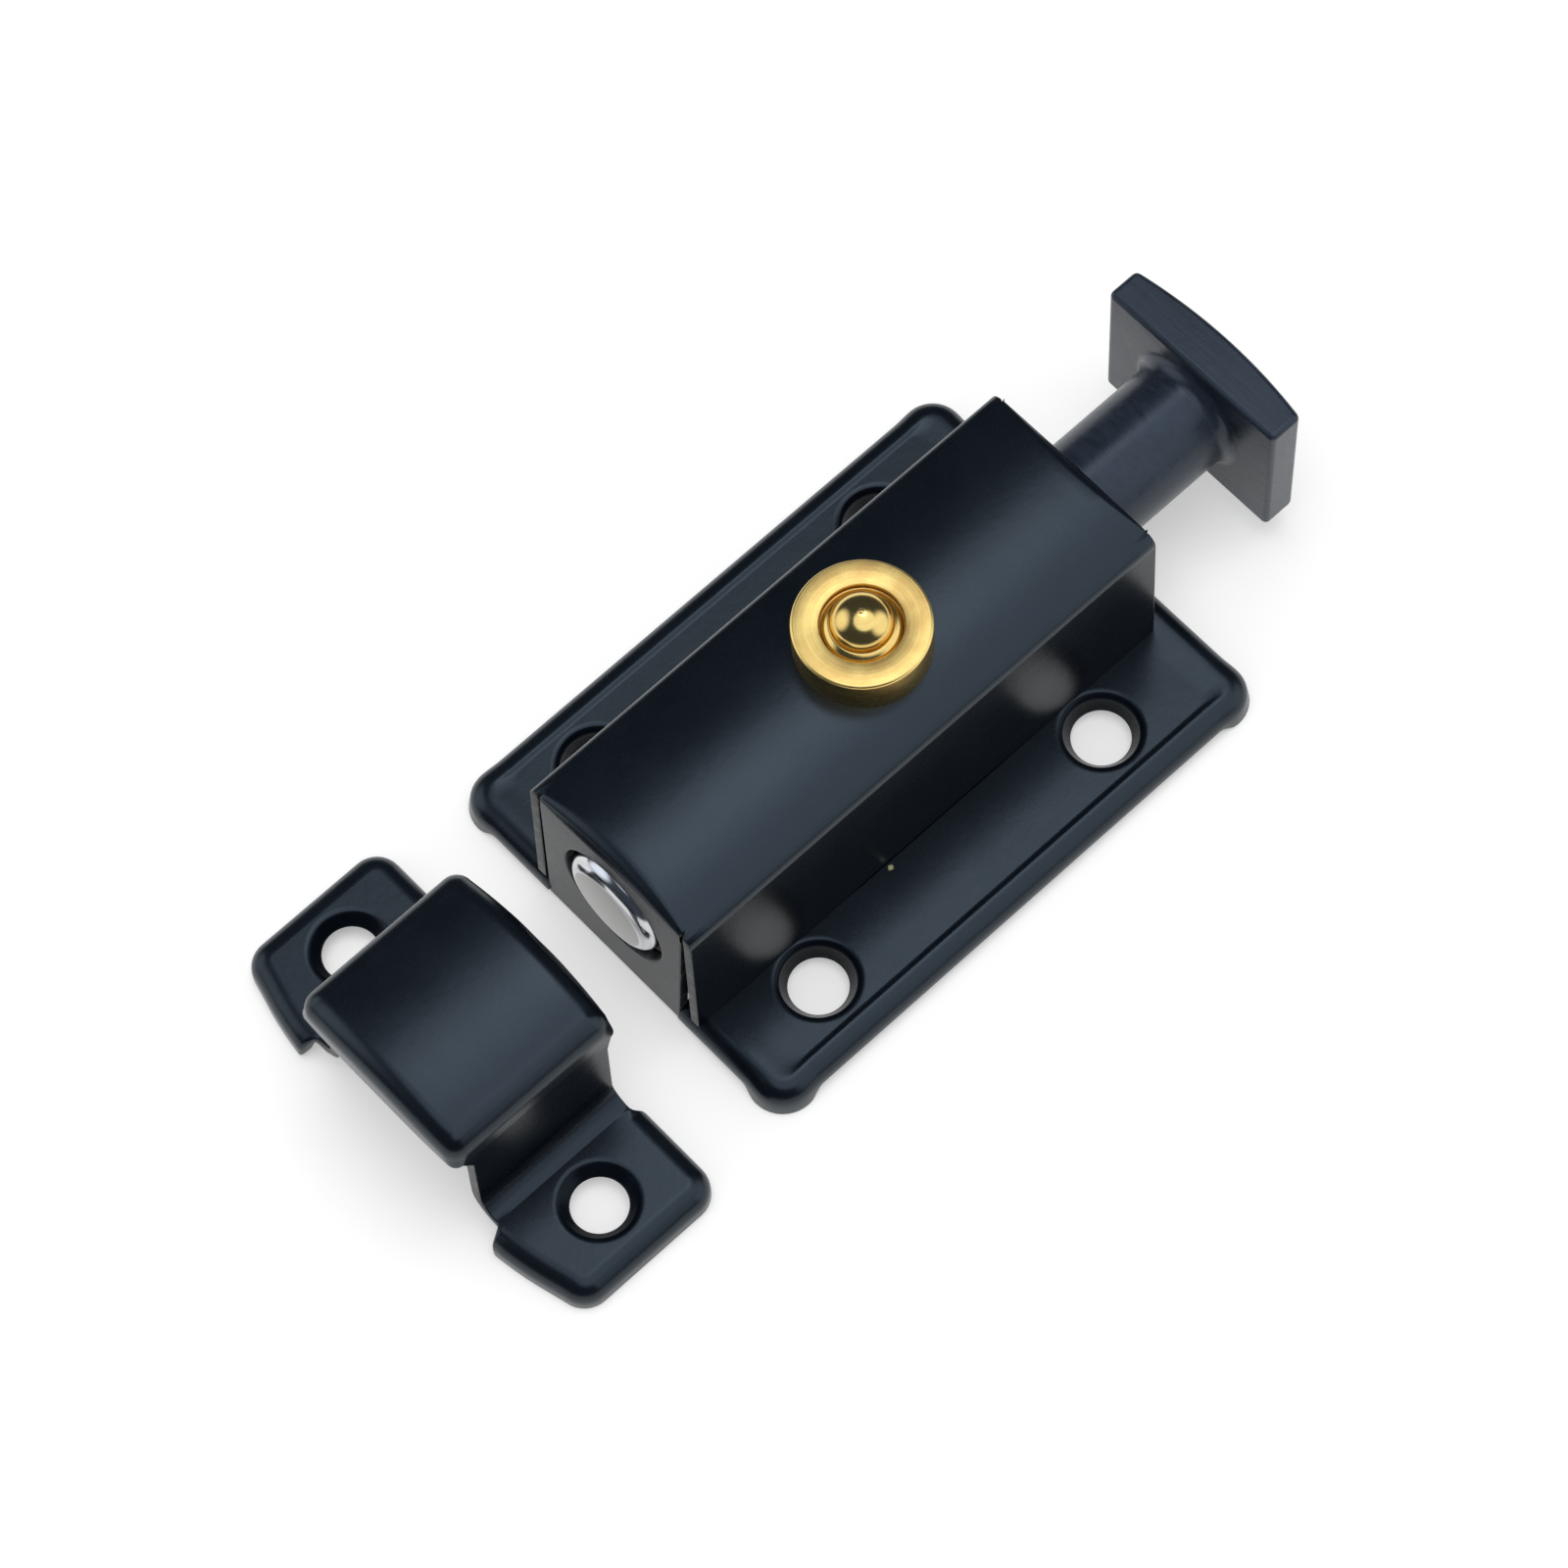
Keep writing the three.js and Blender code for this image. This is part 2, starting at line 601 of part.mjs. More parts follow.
/** Centreline of a coil spring with one closed turn at each end, wound about Z from z = 0. */
class CoilLine extends THREE.Curve {
  constructor(radius, length, turns, wire) {
    super();
    Object.assign(this, { radius, length, turns, wire });
  }

  getPoint(t, target = new THREE.Vector3()) {
    const turn = t * this.turns;
    const rise = this.length - this.wire;
    const openPitch = (rise - 2 * this.wire) / (this.turns - 2);
    const open = Math.min(Math.max(turn - 1, 0), this.turns - 2);
    const closed = turn - open;
    const angle = 2 * Math.PI * turn;
    const z = this.wire / 2 + open * openPitch + closed * this.wire;
    return target.set(this.radius * Math.cos(angle), this.radius * Math.sin(angle), z);
  }
}

/** Coil spring standing on z = 0. */
function coil(radius, length, turns, wire, sides, stepsPerTurn) {
  const line = new CoilLine(radius, length, turns, wire);
  const section = new THREE.Shape(
    arc(0, 0, wire / 2, 0, 360 - 360 / sides, sides - 1).map(([u, v]) => new THREE.Vector2(u, v)),
  );
  const settings = { extrudePath: line, steps: Math.round(turns * stepsPerTurn), curveSegments: 1 };
  return solid(new THREE.ExtrudeGeometry(section, settings));
}

/** Open snap ring of flat stock, lying from z = 0 upwards. */
function snapRing(inner, outer, thickness) {
  const from = SNAP_RING_OPENING / 2;
  const to = 360 - from;
  const outline = [...arc(0, 0, outer, from, to, 26), ...arc(0, 0, inner, to, from, 26)];
  return prism(outline, 0, thickness);
}

/** Turns a piece that stands on z = 0 so that it lies along the bolt from x forwards. */
function ontoBolt(body, x) {
  return body.rotate([0, 90, 0]).translate(x, 0, axisZ);
}

function bolt() {
  const grooveRadius = boltRadius - SNAP_RING_DEPTH;
  const nose = arc(boltRadius - BOLT_NOSE_RADIUS, boltTip - BOLT_NOSE_RADIUS, BOLT_NOSE_RADIUS, 0, 90, 4);
  const studBore = STUD_DIAMETER / 2 + FIT_GAP;
  const bar = turnedOnBolt([
    [0, boltRear + STUD_LENGTH],
    [studBore, boltRear + STUD_LENGTH],
    [studBore, boltRear],
    [boltRadius, boltRear],
    [boltRadius, snapRingX - SNAP_RING_THICKNESS - SEAT_GAP / 2],
    [grooveRadius, snapRingX - SNAP_RING_THICKNESS - SEAT_GAP / 2],
    [grooveRadius, snapRingX + SEAT_GAP / 2],
    [boltRadius, snapRingX + SEAT_GAP / 2],
    ...nose,
    [0, boltTip],
  ], 40);
  const flat = prism(
    [[recessRear, 0], [recessFront, 0], [recessFront, lockFlat], [recessRear, lockFlat]],
    -BOLT_DIAMETER, BOLT_DIAMETER, ALONG_Y,
  );
  const slotHalf = NECK_DIAMETER / 2 + RUN_GAP;
  const slot = prism(
    [[pocketX, -slotHalf], ...arc(BUTTON_X, 0, slotHalf, -90, 90, 8), [pocketX, slotHalf]], 0, boltTop + PAST,
  );
  const pocket = post(pocketX, 0, LOCK_DIAMETER / 2 + RUN_GAP, 0, boltTop + PAST);
  return bar.subtract(flat).subtract(slot).subtract(pocket).subtract(knobPinHole());
}

/** Rod across the bolt and the knob's stud. */
function crossRod(radius, half) {
  const rod = turned([[0, -half], [radius, -half], [radius, half], [0, half]], 16);
  return rod.rotate([90, 0, 0]).translate(boltRear + STUD_LENGTH / 2, 0, axisZ);
}

function knobPin() {
  return crossRod(KNOB_PIN_DIAMETER / 2, boltRadius - KNOB_PIN_INSET);
}

/** Hole drilled right through for the knob's pin. */
function knobPinHole() {
  return crossRod(KNOB_PIN_DIAMETER / 2 + FIT_GAP / 2, boltRadius + PAST);
}

function returnSpring() {
  const from = snapRingX + SEAT_GAP;
  const length = washerX - SEAT_GAP - from;
  return ontoBolt(coil(springInner + SPRING_WIRE / 2, length, SPRING_TURNS, SPRING_WIRE, 8, 14), from);
}

function springClip() {
  const inner = boltRadius - SNAP_RING_DEPTH + SEAT_GAP / 2;
  return ontoBolt(snapRing(inner, springOuter, SNAP_RING_THICKNESS), snapRingX - SNAP_RING_THICKNESS);
}

function thrustWasher() {
  const inner = springInner;
  const outer = springOuter + SPRING_CLEARANCE;
  const front = washerX + WASHER_THICKNESS;
  return turnedOnBolt([
    [inner, washerX], [outer, washerX], [outer, front], [inner, front], [inner, washerX],
  ], 32);
}

// ---------------------------------------------------------------------------------------------
// Knob
// ---------------------------------------------------------------------------------------------

/** Rectangular T plate with a convex outer face and eased edges. */
function knobPlate() {
  const half = KNOB_WIDTH / 2;
  const shoulder = knobInner - KNOB_THICKNESS;
  const radius = (half ** 2 + KNOB_BULGE ** 2) / (2 * KNOB_BULGE);
  const spread = THREE.MathUtils.radToDeg(Math.asin(half / radius));
  const face = arc(shoulder - KNOB_BULGE + radius, 0, radius, 180 - spread, 180 + spread, 14);
  const outline = [[knobInner, half], ...face, [knobInner, -half]];
  const options = {
    bevelEnabled: true,
    bevelSize: KNOB_EDGE,
    bevelOffset: -KNOB_EDGE,
    bevelThickness: KNOB_EDGE,
    bevelSegments: 2,
  };
  const reach = KNOB_HEIGHT / 2 - KNOB_EDGE;
  return prism(outline, -reach, reach, UPRIGHT, options).translate(0, 0, axisZ - KNOB_DROP);
}

function knob() {
  const shaft = SHAFT_DIAMETER / 2;
  const stud = STUD_DIAMETER / 2;
  const studEnd = boltRear + STUD_LENGTH - FIT_GAP;
  const flare = arc(shaft + FLARE_HEIGHT, knobInner + FLARE_RADIUS, 1, 270, 180, 5).map(([r, x]) => [
    shaft + FLARE_HEIGHT + (r - shaft - FLARE_HEIGHT) * FLARE_HEIGHT,
    knobInner + FLARE_RADIUS + (x - knobInner - FLARE_RADIUS) * FLARE_RADIUS,
  ]);
  const stem = turnedOnBolt([
    [0, knobInner - KNOB_THICKNESS / 2],
    [shaft + FLARE_HEIGHT, knobInner - KNOB_THICKNESS / 2],
    ...flare,
    [shaft, boltRear - SEAT_GAP],
    [stud, boltRear - SEAT_GAP],
    [stud, studEnd],
    [0, studEnd],
  ], 32);
  return knobPlate().add(stem).subtract(knobPinHole());
}

// ---------------------------------------------------------------------------------------------
// Button
// ---------------------------------------------------------------------------------------------

/** Brass collar, its spigot through the cover's top swaged out underneath. */
function buttonCollar() {
  const outer = COLLAR_DIAMETER / 2;
  const bore = COLLAR_BORE / 2;
  const spigot = SPIGOT_DIAMETER / 2;
  const swage = SWAGE_DIAMETER / 2;
  const swageTop = coverCrown - COVER_SHEET - COVER_CAMBER * (swage / coverHalf) ** 2 - FIT_GAP;
  return turned([
    [bore, collarTop - COLLAR_EDGE / 2],
    [bore, swageTop - SWAGE_THICKNESS],
    [swage - COLLAR_EDGE, swageTop - SWAGE_THICKNESS],
    [swage, swageTop - SWAGE_THICKNESS / 2],
    [swage, swageTop],
    [spigot, swageTop],
    [spigot, collarSeat],
    [outer, collarSeat],
    ...arc(outer - COLLAR_EDGE, collarTop - COLLAR_EDGE, COLLAR_EDGE, 0, 90, 3),
    [bore + COLLAR_EDGE / 2, collarTop],
    [bore, collarTop - COLLAR_EDGE / 2],
  ], 40).translate(BUTTON_X, 0, 0);
}

/** Turned brass pin: domed head, neck through the bolt's slot, lock shoulder and grooved tail. */
function buttonPin() {
  const head = HEAD_DIAMETER / 2;
  const neck = NECK_DIAMETER / 2;
  const lock = LOCK_DIAMETER / 2;
  const groove = lockClipGroove;
  const dome = DOME_DIAMETER / 2;
  const domeArc = arc(0, 0, 1, 0, 90, 7).map(([c, s]) => [dome * c, headTop + DOME_HEIGHT * s]);
  return turned([
    [0, lockClipFoot - TAIL_LENGTH],
    [neck, lockClipFoot - TAIL_LENGTH],
    [neck, lockClipFoot - SEAT_GAP / 2],
    [groove, lockClipFoot - SEAT_GAP / 2],
    [groove, lockFoot],
    [lock, lockFoot],
    [lock, lockTop],
    [neck, lockTop],
    [neck, headFoot],
    [head, headFoot],
    [head, headTop - HEAD_EDGE],
    [head - HEAD_EDGE, headTop],
    ...domeArc,
  ], 32).translate(BUTTON_X, 0, 0);
}

function lockClip() {
  const inner = lockClipGroove + SEAT_GAP / 2;
  const thickness = LOCK_CLIP_THICKNESS - SEAT_GAP / 2;
  return snapRing(inner, lockClipRadius, thickness).translate(BUTTON_X, 0, lockClipFoot);
}

function buttonSpring() {
  const radius = NECK_DIAMETER / 2 + RUN_GAP + BUTTON_SPRING_WIRE / 2;
  const from = PLATE_HEIGHT + SEAT_GAP;
  const length = lockClipFoot - SEAT_GAP - from;
  return coil(radius, length, BUTTON_SPRING_TURNS, BUTTON_SPRING_WIRE, 6, 14).translate(BUTTON_X, 0, from);
}

// ---------------------------------------------------------------------------------------------
// Keeper
// ---------------------------------------------------------------------------------------------

/** Far edge of the keeper at a distance from its middle. */
function keeperFarAt(y) {
  return keeperFar - KEEPER_BOW * (Math.abs(y) / KEEPER_HALF_LENGTH) ** KEEPER_BOW_POWER;
}

/** Plan of one foot, anticlockwise, its corners rounded more at the end than by the leg. */
function footLoop() {
  const end = KEEPER_HALF_LENGTH;
  const start = bridgeHalf + FOOT_STANDOFF;
  const from = start + FOOT_CORNER;
  const steps = 6;
  const farSide = Array.from({ length: steps + 1 }, (_, i) => {
    const y = from + ((end - KEEPER_CORNER - from) * i) / steps;
    return [keeperFarAt(y), y];
  });
  const farEnd = keeperFarAt(end - KEEPER_CORNER);
  return [
    ...arc(keeperNear + FOOT_CORNER, from, FOOT_CORNER, 180, 270, 4),
    ...arc(keeperFarAt(from) - FOOT_CORNER, from, FOOT_CORNER, -90, -15, 4),
    ...farSide,
    ...arc(farEnd - KEEPER_CORNER, end - KEEPER_CORNER, KEEPER_CORNER, 10, 90, 5),
    ...arc(keeperNear + KEEPER_CORNER, end - KEEPER_CORNER, KEEPER_CORNER, 90, 180, 5),
  ].map(([x, y]) => new THREE.Vector2(x, y));
}

/** One foot: a pressed tray, with the bend of its leg run in, and one dimple. */
function keeperFoot() {
  const tray = pressedTray(footLoop(), { top: PLATE_HEIGHT, sheet: KEEPER_SHEET, bend: KEEPER_BEND });
  const [near, far] = legEdges();
  const flat = bridgeHalf + FOOT_STANDOFF + KEEPER_BEND;
  const legSide = prism([[near, 0], [far, 0], [far, flat], [near, flat]], -PAST, PLATE_HEIGHT + PAST);
  const place = [[keeperHoleX, KEEPER_HOLE_SPREAD / 2]];
  return withDimples(tray.subtract(legSide).add(legBend()), place, {
    holeDiameter: KEEPER_HOLE_DIAMETER, depth: KEEPER_DIMPLE_DEPTH, top: PLATE_HEIGHT, sheet: KEEPER_SHEET,
  });
}

/** The two edges of a leg. */
function legEdges() {
  return [keeperNear + LEG_WAIST_NEAR, keeperFarAt(bridgeHalf) - LEG_WAIST_FAR];
}

/** Bend where a leg runs out into its foot. */
function legBend() {
  const [near, far] = legEdges();
  const centreY = bridgeHalf + LEG_BEND;
  const centreZ = PLATE_HEIGHT + LEG_BEND;
  const flat = bridgeHalf + FOOT_STANDOFF + KEEPER_BEND + FIT_GAP;
  return prism([
    ...arc(centreY, centreZ, LEG_BEND, 180, 270, 5),
    [flat, PLATE_HEIGHT],
    [flat, PLATE_HEIGHT - KEEPER_SHEET],
    ...arc(centreY, centreZ, LEG_BEND + KEEPER_SHEET, 270, 180, 5),
  ], near, far, ALONG_X);
}

/** How far the bridge's plan draws in at a distance from its middle, for a corner of this radius. */
function drawnInAt(y, corner, inset) {
  const radius = Math.max(corner - inset, 0);
  const past = Math.max(Math.abs(y) - (shoulderHalf - inset - radius), 0);
  return inset + radius - Math.sqrt(Math.max(radius ** 2 - past ** 2, 0));
}

/** Height of the bridge's top at a distance from its middle. */
function bridgeTopAt(y, inset) {
  return bridgeCrown - inset - BRIDGE_CAMBER * (y / shoulderHalf) ** 2;
}

/** The bridge's outside with legs of full width, or its inside when inset by the sheet. */
function bridgeBlock(inset, foot) {
  const bend = BRIDGE_ROLL - inset;
  const half = shoulderHalf - inset;
  const stations = 14;
  const rings = Array.from({ length: stations + 1 }, (_, i) => {
    const y = half * Math.sin(Math.PI * (i / stations - 0.5));
    const top = bridgeTopAt(y, inset);
    const bulge = BRIDGE_BULGE * (1 - (y / shoulderHalf) ** 2);
    const near = keeperNear - bulge;
    const far = keeperFarAt(y);
    const low = drawnInAt(y, FLANGE_CORNER, inset);
    const high = drawnInAt(y, BRIDGE_TOP_CORNER, inset);
    return [
      [near + low, foot],
      [far - low, foot],
      [far - low, flangeFoot],
      ...arc(far - high - bend, top - bend, bend, 0, 90, 5),
      ...arc(near + high + bend, top - bend, bend, 90, 180, 5),
      [near + low, flangeFoot],
    ].map(([x, z]) => new THREE.Vector3(x, y, z));
  });
  const block = loft(rings, (p) => new THREE.Vector2(p.x, p.z));
  const round = BRIDGE_SHOULDER - inset;
  const shoulderZ = bridgeTopAt(half - round, inset);
  const footHalf = half - LEG_LEAN;
  const across = [
    [-footHalf, foot - PAST],
    [footHalf, foot - PAST],
    [footHalf, foot],
    ...arc(half - round, shoulderZ - round, round, 0, 90, 5),
    [half - round, bridgeCrown + PAST],
    [round - half, bridgeCrown + PAST],
    ...arc(round - half, shoulderZ - round, round, 90, 180, 5),
    [-footHalf, foot],
  ];
  return block.intersect(prism(across, keeperNear - PAST, keeperFar + PAST, ALONG_X));
}

/** What is cut away beside a leg, in side view, from the bridge's flange down. */
function besideLeg(edge, waist) {
  const beyond = 3 * edge - 2 * waist;
  return prism([
    [beyond, flangeFoot],
    [(edge + waist) / 2, flangeFoot],
    [waist, flangeFoot - LEG_BEND],
    [waist, 0],
    [beyond, 0],
  ], -shoulderHalf - PAST, shoulderHalf + PAST, ALONG_Y);
}

/** Opening through the bridge under its flanges. */
function bridgeOpening() {
  const foot = bridgeHalf - KEEPER_SHEET;
  const head = shoulderHalf - KEEPER_SHEET;
  const outline = [[foot, -PAST], [foot, PLATE_HEIGHT], [head, flangeFoot]];
  const mirrored = outline.map(([y, z]) => [-y, z]).reverse();
  return prism([...outline, ...mirrored], keeperNear - PAST, keeperFar + PAST, ALONG_X);
}

/** Arch in the near flange for the bolt to shoot through. */
function boltArch() {
  const radius = boltRadius + RUN_GAP;
  const from = keeperNear - BRIDGE_BULGE - PAST;
  const to = keeperNear + BRIDGE_ROLL;
  return turnedOnBolt([[0, from], [radius, from], [radius, to], [0, to]]);
}

function keeper() {
  const legFoot = PLATE_HEIGHT + LEG_BEND;
  const [near, far] = legEdges();
  const bridge = bridgeBlock(0, legFoot)
    .subtract(bridgeBlock(KEEPER_SHEET, legFoot - LEG_BEND))
    .subtract(bridgeOpening())
    .subtract(boltArch())
    .subtract(besideLeg(keeperNear, near))
    .subtract(besideLeg(keeperFarAt(bridgeHalf), far));
  return bridge.add(bothSides(keeperFoot()));
}

// ---------------------------------------------------------------------------------------------
// The set
// ---------------------------------------------------------------------------------------------

const paint = { color: 0x1a2027, roughness: 0.38, metalness: 0.1 };
const knobPaint = { color: 0x23282f, roughness: 0.5, metalness: 0.1 };
const chrome = { color: 0xd8dadb, roughness: 0.12, metalness: 1.0 };
const brass = { color: 0xd9a441, roughness: 0.28, metalness: 1.0 };
const springSteel = { color: 0x8d9094, roughness: 0.35, metalness: 1.0 };

const pieces = [
  ['base_plate', basePlate, paint],
  ['housing', housing, paint],
  ['button_collar', buttonCollar, brass],
  ['thrust_washer', thrustWasher, springSteel],
  ['return_spring', returnSpring, springSteel],
  ['button_spring', buttonSpring, springSteel],
  ['keeper', keeper, paint],
  ['bolt', bolt, chrome],
  ['spring_clip', springClip, springSteel],
  ['knob', knob, knobPaint],
  ['knob_pin', knobPin, springSteel],
  ['button_pin', buttonPin, brass],
  ['lock_clip', lockClip, springSteel],
];

const latchSet = new THREE.Group();
latchSet.position.x = -setMiddle;
for (const [name, make, finish] of pieces) {
  const mesh = new THREE.Mesh(geometryOf(make()), new THREE.MeshStandardMaterial(finish));
  mesh.name = name;
  latchSet.add(mesh);
}

export default latchSet;
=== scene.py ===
"""Looks of a push-button bolt latch with a T knob, and of the keeper that its bolt enters.

Lengths are in millimetres until a mesh is made, in the CAD frame's own axes: +X along the bolt from
the knob towards the keeper, +Z up off the mounting surface. Sheet pieces are drawn on both faces of
their sheet at once, turned pieces from their profiles.
"""

import json
import logging
from dataclasses import dataclass, field, replace
from enum import Enum
from functools import partial
from itertools import pairwise
from math import asin, cos, degrees, pi, radians, sin, sqrt
from typing import Any, Callable, Sequence

import bmesh
import bpy
from mathutils import Matrix, Vector
from mathutils.geometry import tessellate_polygon


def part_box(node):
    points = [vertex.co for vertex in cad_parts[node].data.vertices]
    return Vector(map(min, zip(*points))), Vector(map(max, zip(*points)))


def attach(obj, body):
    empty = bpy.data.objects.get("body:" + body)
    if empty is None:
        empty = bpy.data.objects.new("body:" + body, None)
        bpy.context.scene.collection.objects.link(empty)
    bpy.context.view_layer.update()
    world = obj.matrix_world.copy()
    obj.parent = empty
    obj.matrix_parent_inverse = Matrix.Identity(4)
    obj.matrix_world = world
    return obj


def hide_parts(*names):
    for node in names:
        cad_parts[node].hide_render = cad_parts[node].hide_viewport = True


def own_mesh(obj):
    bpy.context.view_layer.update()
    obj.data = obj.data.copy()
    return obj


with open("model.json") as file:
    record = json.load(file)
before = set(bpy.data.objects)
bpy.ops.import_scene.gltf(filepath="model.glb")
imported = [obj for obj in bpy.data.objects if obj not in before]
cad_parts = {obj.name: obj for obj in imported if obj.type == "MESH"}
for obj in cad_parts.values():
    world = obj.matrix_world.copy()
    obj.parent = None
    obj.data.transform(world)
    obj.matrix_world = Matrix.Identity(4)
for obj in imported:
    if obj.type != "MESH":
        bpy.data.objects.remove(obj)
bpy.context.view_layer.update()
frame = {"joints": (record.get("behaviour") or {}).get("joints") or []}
JOINTS = {joint["name"]: joint for joint in frame["joints"]}

log = logging.getLogger("latch")

MM = 0.001

Piece = bpy.types.Object
Material = bpy.types.Material
Point = tuple[float, float, float]
Plan = tuple[float, float]
Place = Callable[[float], Sequence[Point]]
Colour = tuple[float, float, float, float]


class Body(Enum):
    """The bodies of the CAD frame."""

    LATCH = "latch_body"
    BOLT = "bolt_assembly"
    BUTTON = "button_assembly"


class Slot(Enum):
    """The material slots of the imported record."""

    BLACK_PAINT = "black_paint"
    KNOB_PAINT = "knob_paint"
    CHROME = "chrome"
    BRASS = "brass"
    SPRING_STEEL = "spring_steel"


class Axis(Enum):
    """Axis that a piece is turned about."""

    ALONG_BOLT = "x"
    UPRIGHT = "z"


class End(Enum):
    """End of the cover, by the way that it faces along the bolt."""

    FRONT = 1
    REAR = -1


class Coat(Enum):
    """Material number of a sheet's face."""

    PAINT = 0
    CUT_EDGE = 1
    THIN_PAINT = 2


# --- Plane geometry ---


def blend(start: float, end: float, share: float) -> float:
    """Value a share of the way from start to end."""
    return start + (end - start) * share


def ease(share: float) -> float:
    """Smooth step from 0 to 1, held outside them."""
    held = min(max(share, 0.0), 1.0)
    return held * held * (3 - 2 * held)


def arc(centre: Plan, radius: float, start: float, end: float, steps: int) -> list[Plan]:
    """Points on an arc, both ends included.

    Args:
        centre: Centre of the arc.
        radius: Its radius.
        start: First angle, in degrees.
        end: Last angle, in degrees.
        steps: How many chords it is drawn with.

    Returns:
        The points from the first angle to the last.
    """
    angles = [radians(blend(start, end, i / steps)) for i in range(steps + 1)]
    return [(centre[0] + radius * cos(a), centre[1] + radius * sin(a)) for a in angles]


def spread(start: float, end: float, steps: int) -> list[float]:
    """Evenly spaced values, both ends included."""
    return [blend(start, end, i / steps) for i in range(steps + 1)]


def inset(line: Sequence[Plan], depth_at: Callable[[Plan], float]) -> list[Plan]:
    """Moves an open anticlockwise line inwards, each point by its own depth.

    Args:
        line: Points in plan.
        depth_at: Depth at a point, measured square to the line.

    Returns:
        As many points, moved.
    """
    moved = []
    for i, (x, y) in enumerate(line):
        before = line[max(i - 1, 0)]
        after = line[min(i + 1, len(line) - 1)]
        into = Vector((x - before[0], y - before[1]))
        onward = Vector((after[0] - x, after[1] - y))
        into = (into if into.length else onward).normalized()
        onward = (onward if onward.length else into).normalized()
        inward = Vector((-into.y - onward.y, into.x + onward.x)).normalized()
        square = inward.x * -into.y + inward.y * into.x
        depth = depth_at((x, y)) / square
        moved.append((x + inward.x * depth, y + inward.y * depth))
    return moved


def node_box(node: str) -> tuple[Vector, Vector]:
    """Lowest and highest corner of a CAD node, in millimetres."""
    low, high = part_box(node)
    return low / MM, high / MM


# --- Mesh builders ---


def finish_mesh(shape: bmesh.types.BMesh, name: str) -> Piece:
    """Turns a mesh in millimetres into a smooth object of the scene.

    Args:
        shape: Closed bodies, in millimetres. It is freed.
        name: Name of the piece.

    Returns:
        The object, at the origin and in metres.
    """
    bmesh.ops.recalc_face_normals(shape, faces=shape.faces)
    bmesh.ops.scale(shape, vec=(MM, MM, MM), verts=shape.verts)
    for face in shape.faces:
        face.smooth = True
    mesh = bpy.data.meshes.new(name)
    shape.to_mesh(mesh)
    shape.free()
    piece = bpy.data.objects.new(name, mesh)
    bpy.context.scene.collection.objects.link(piece)
    return piece


def ease_edges(piece: Piece, width: float, segments: int = 2, angle: float = 40) -> None:
    """Rounds a piece's sharp edges and shades its flats true.

    Args:
        piece: The piece.
        width: Width of the rounding in millimetres.
        segments: Facets across each rounding.
        angle: Edges sharper than this many degrees are rounded.
    """
    bevel = piece.modifiers.new("eased edges", "BEVEL")
    bevel.width = width * MM
    bevel.segments = segments
    bevel.limit_method = "ANGLE"
    bevel.angle_limit = radians(angle)
    bevel.use_clamp_overlap = False
    shading = piece.modifiers.new("true flats", "WEIGHTED_NORMAL")
    shading.weight = 60
    shading.keep_sharp = True


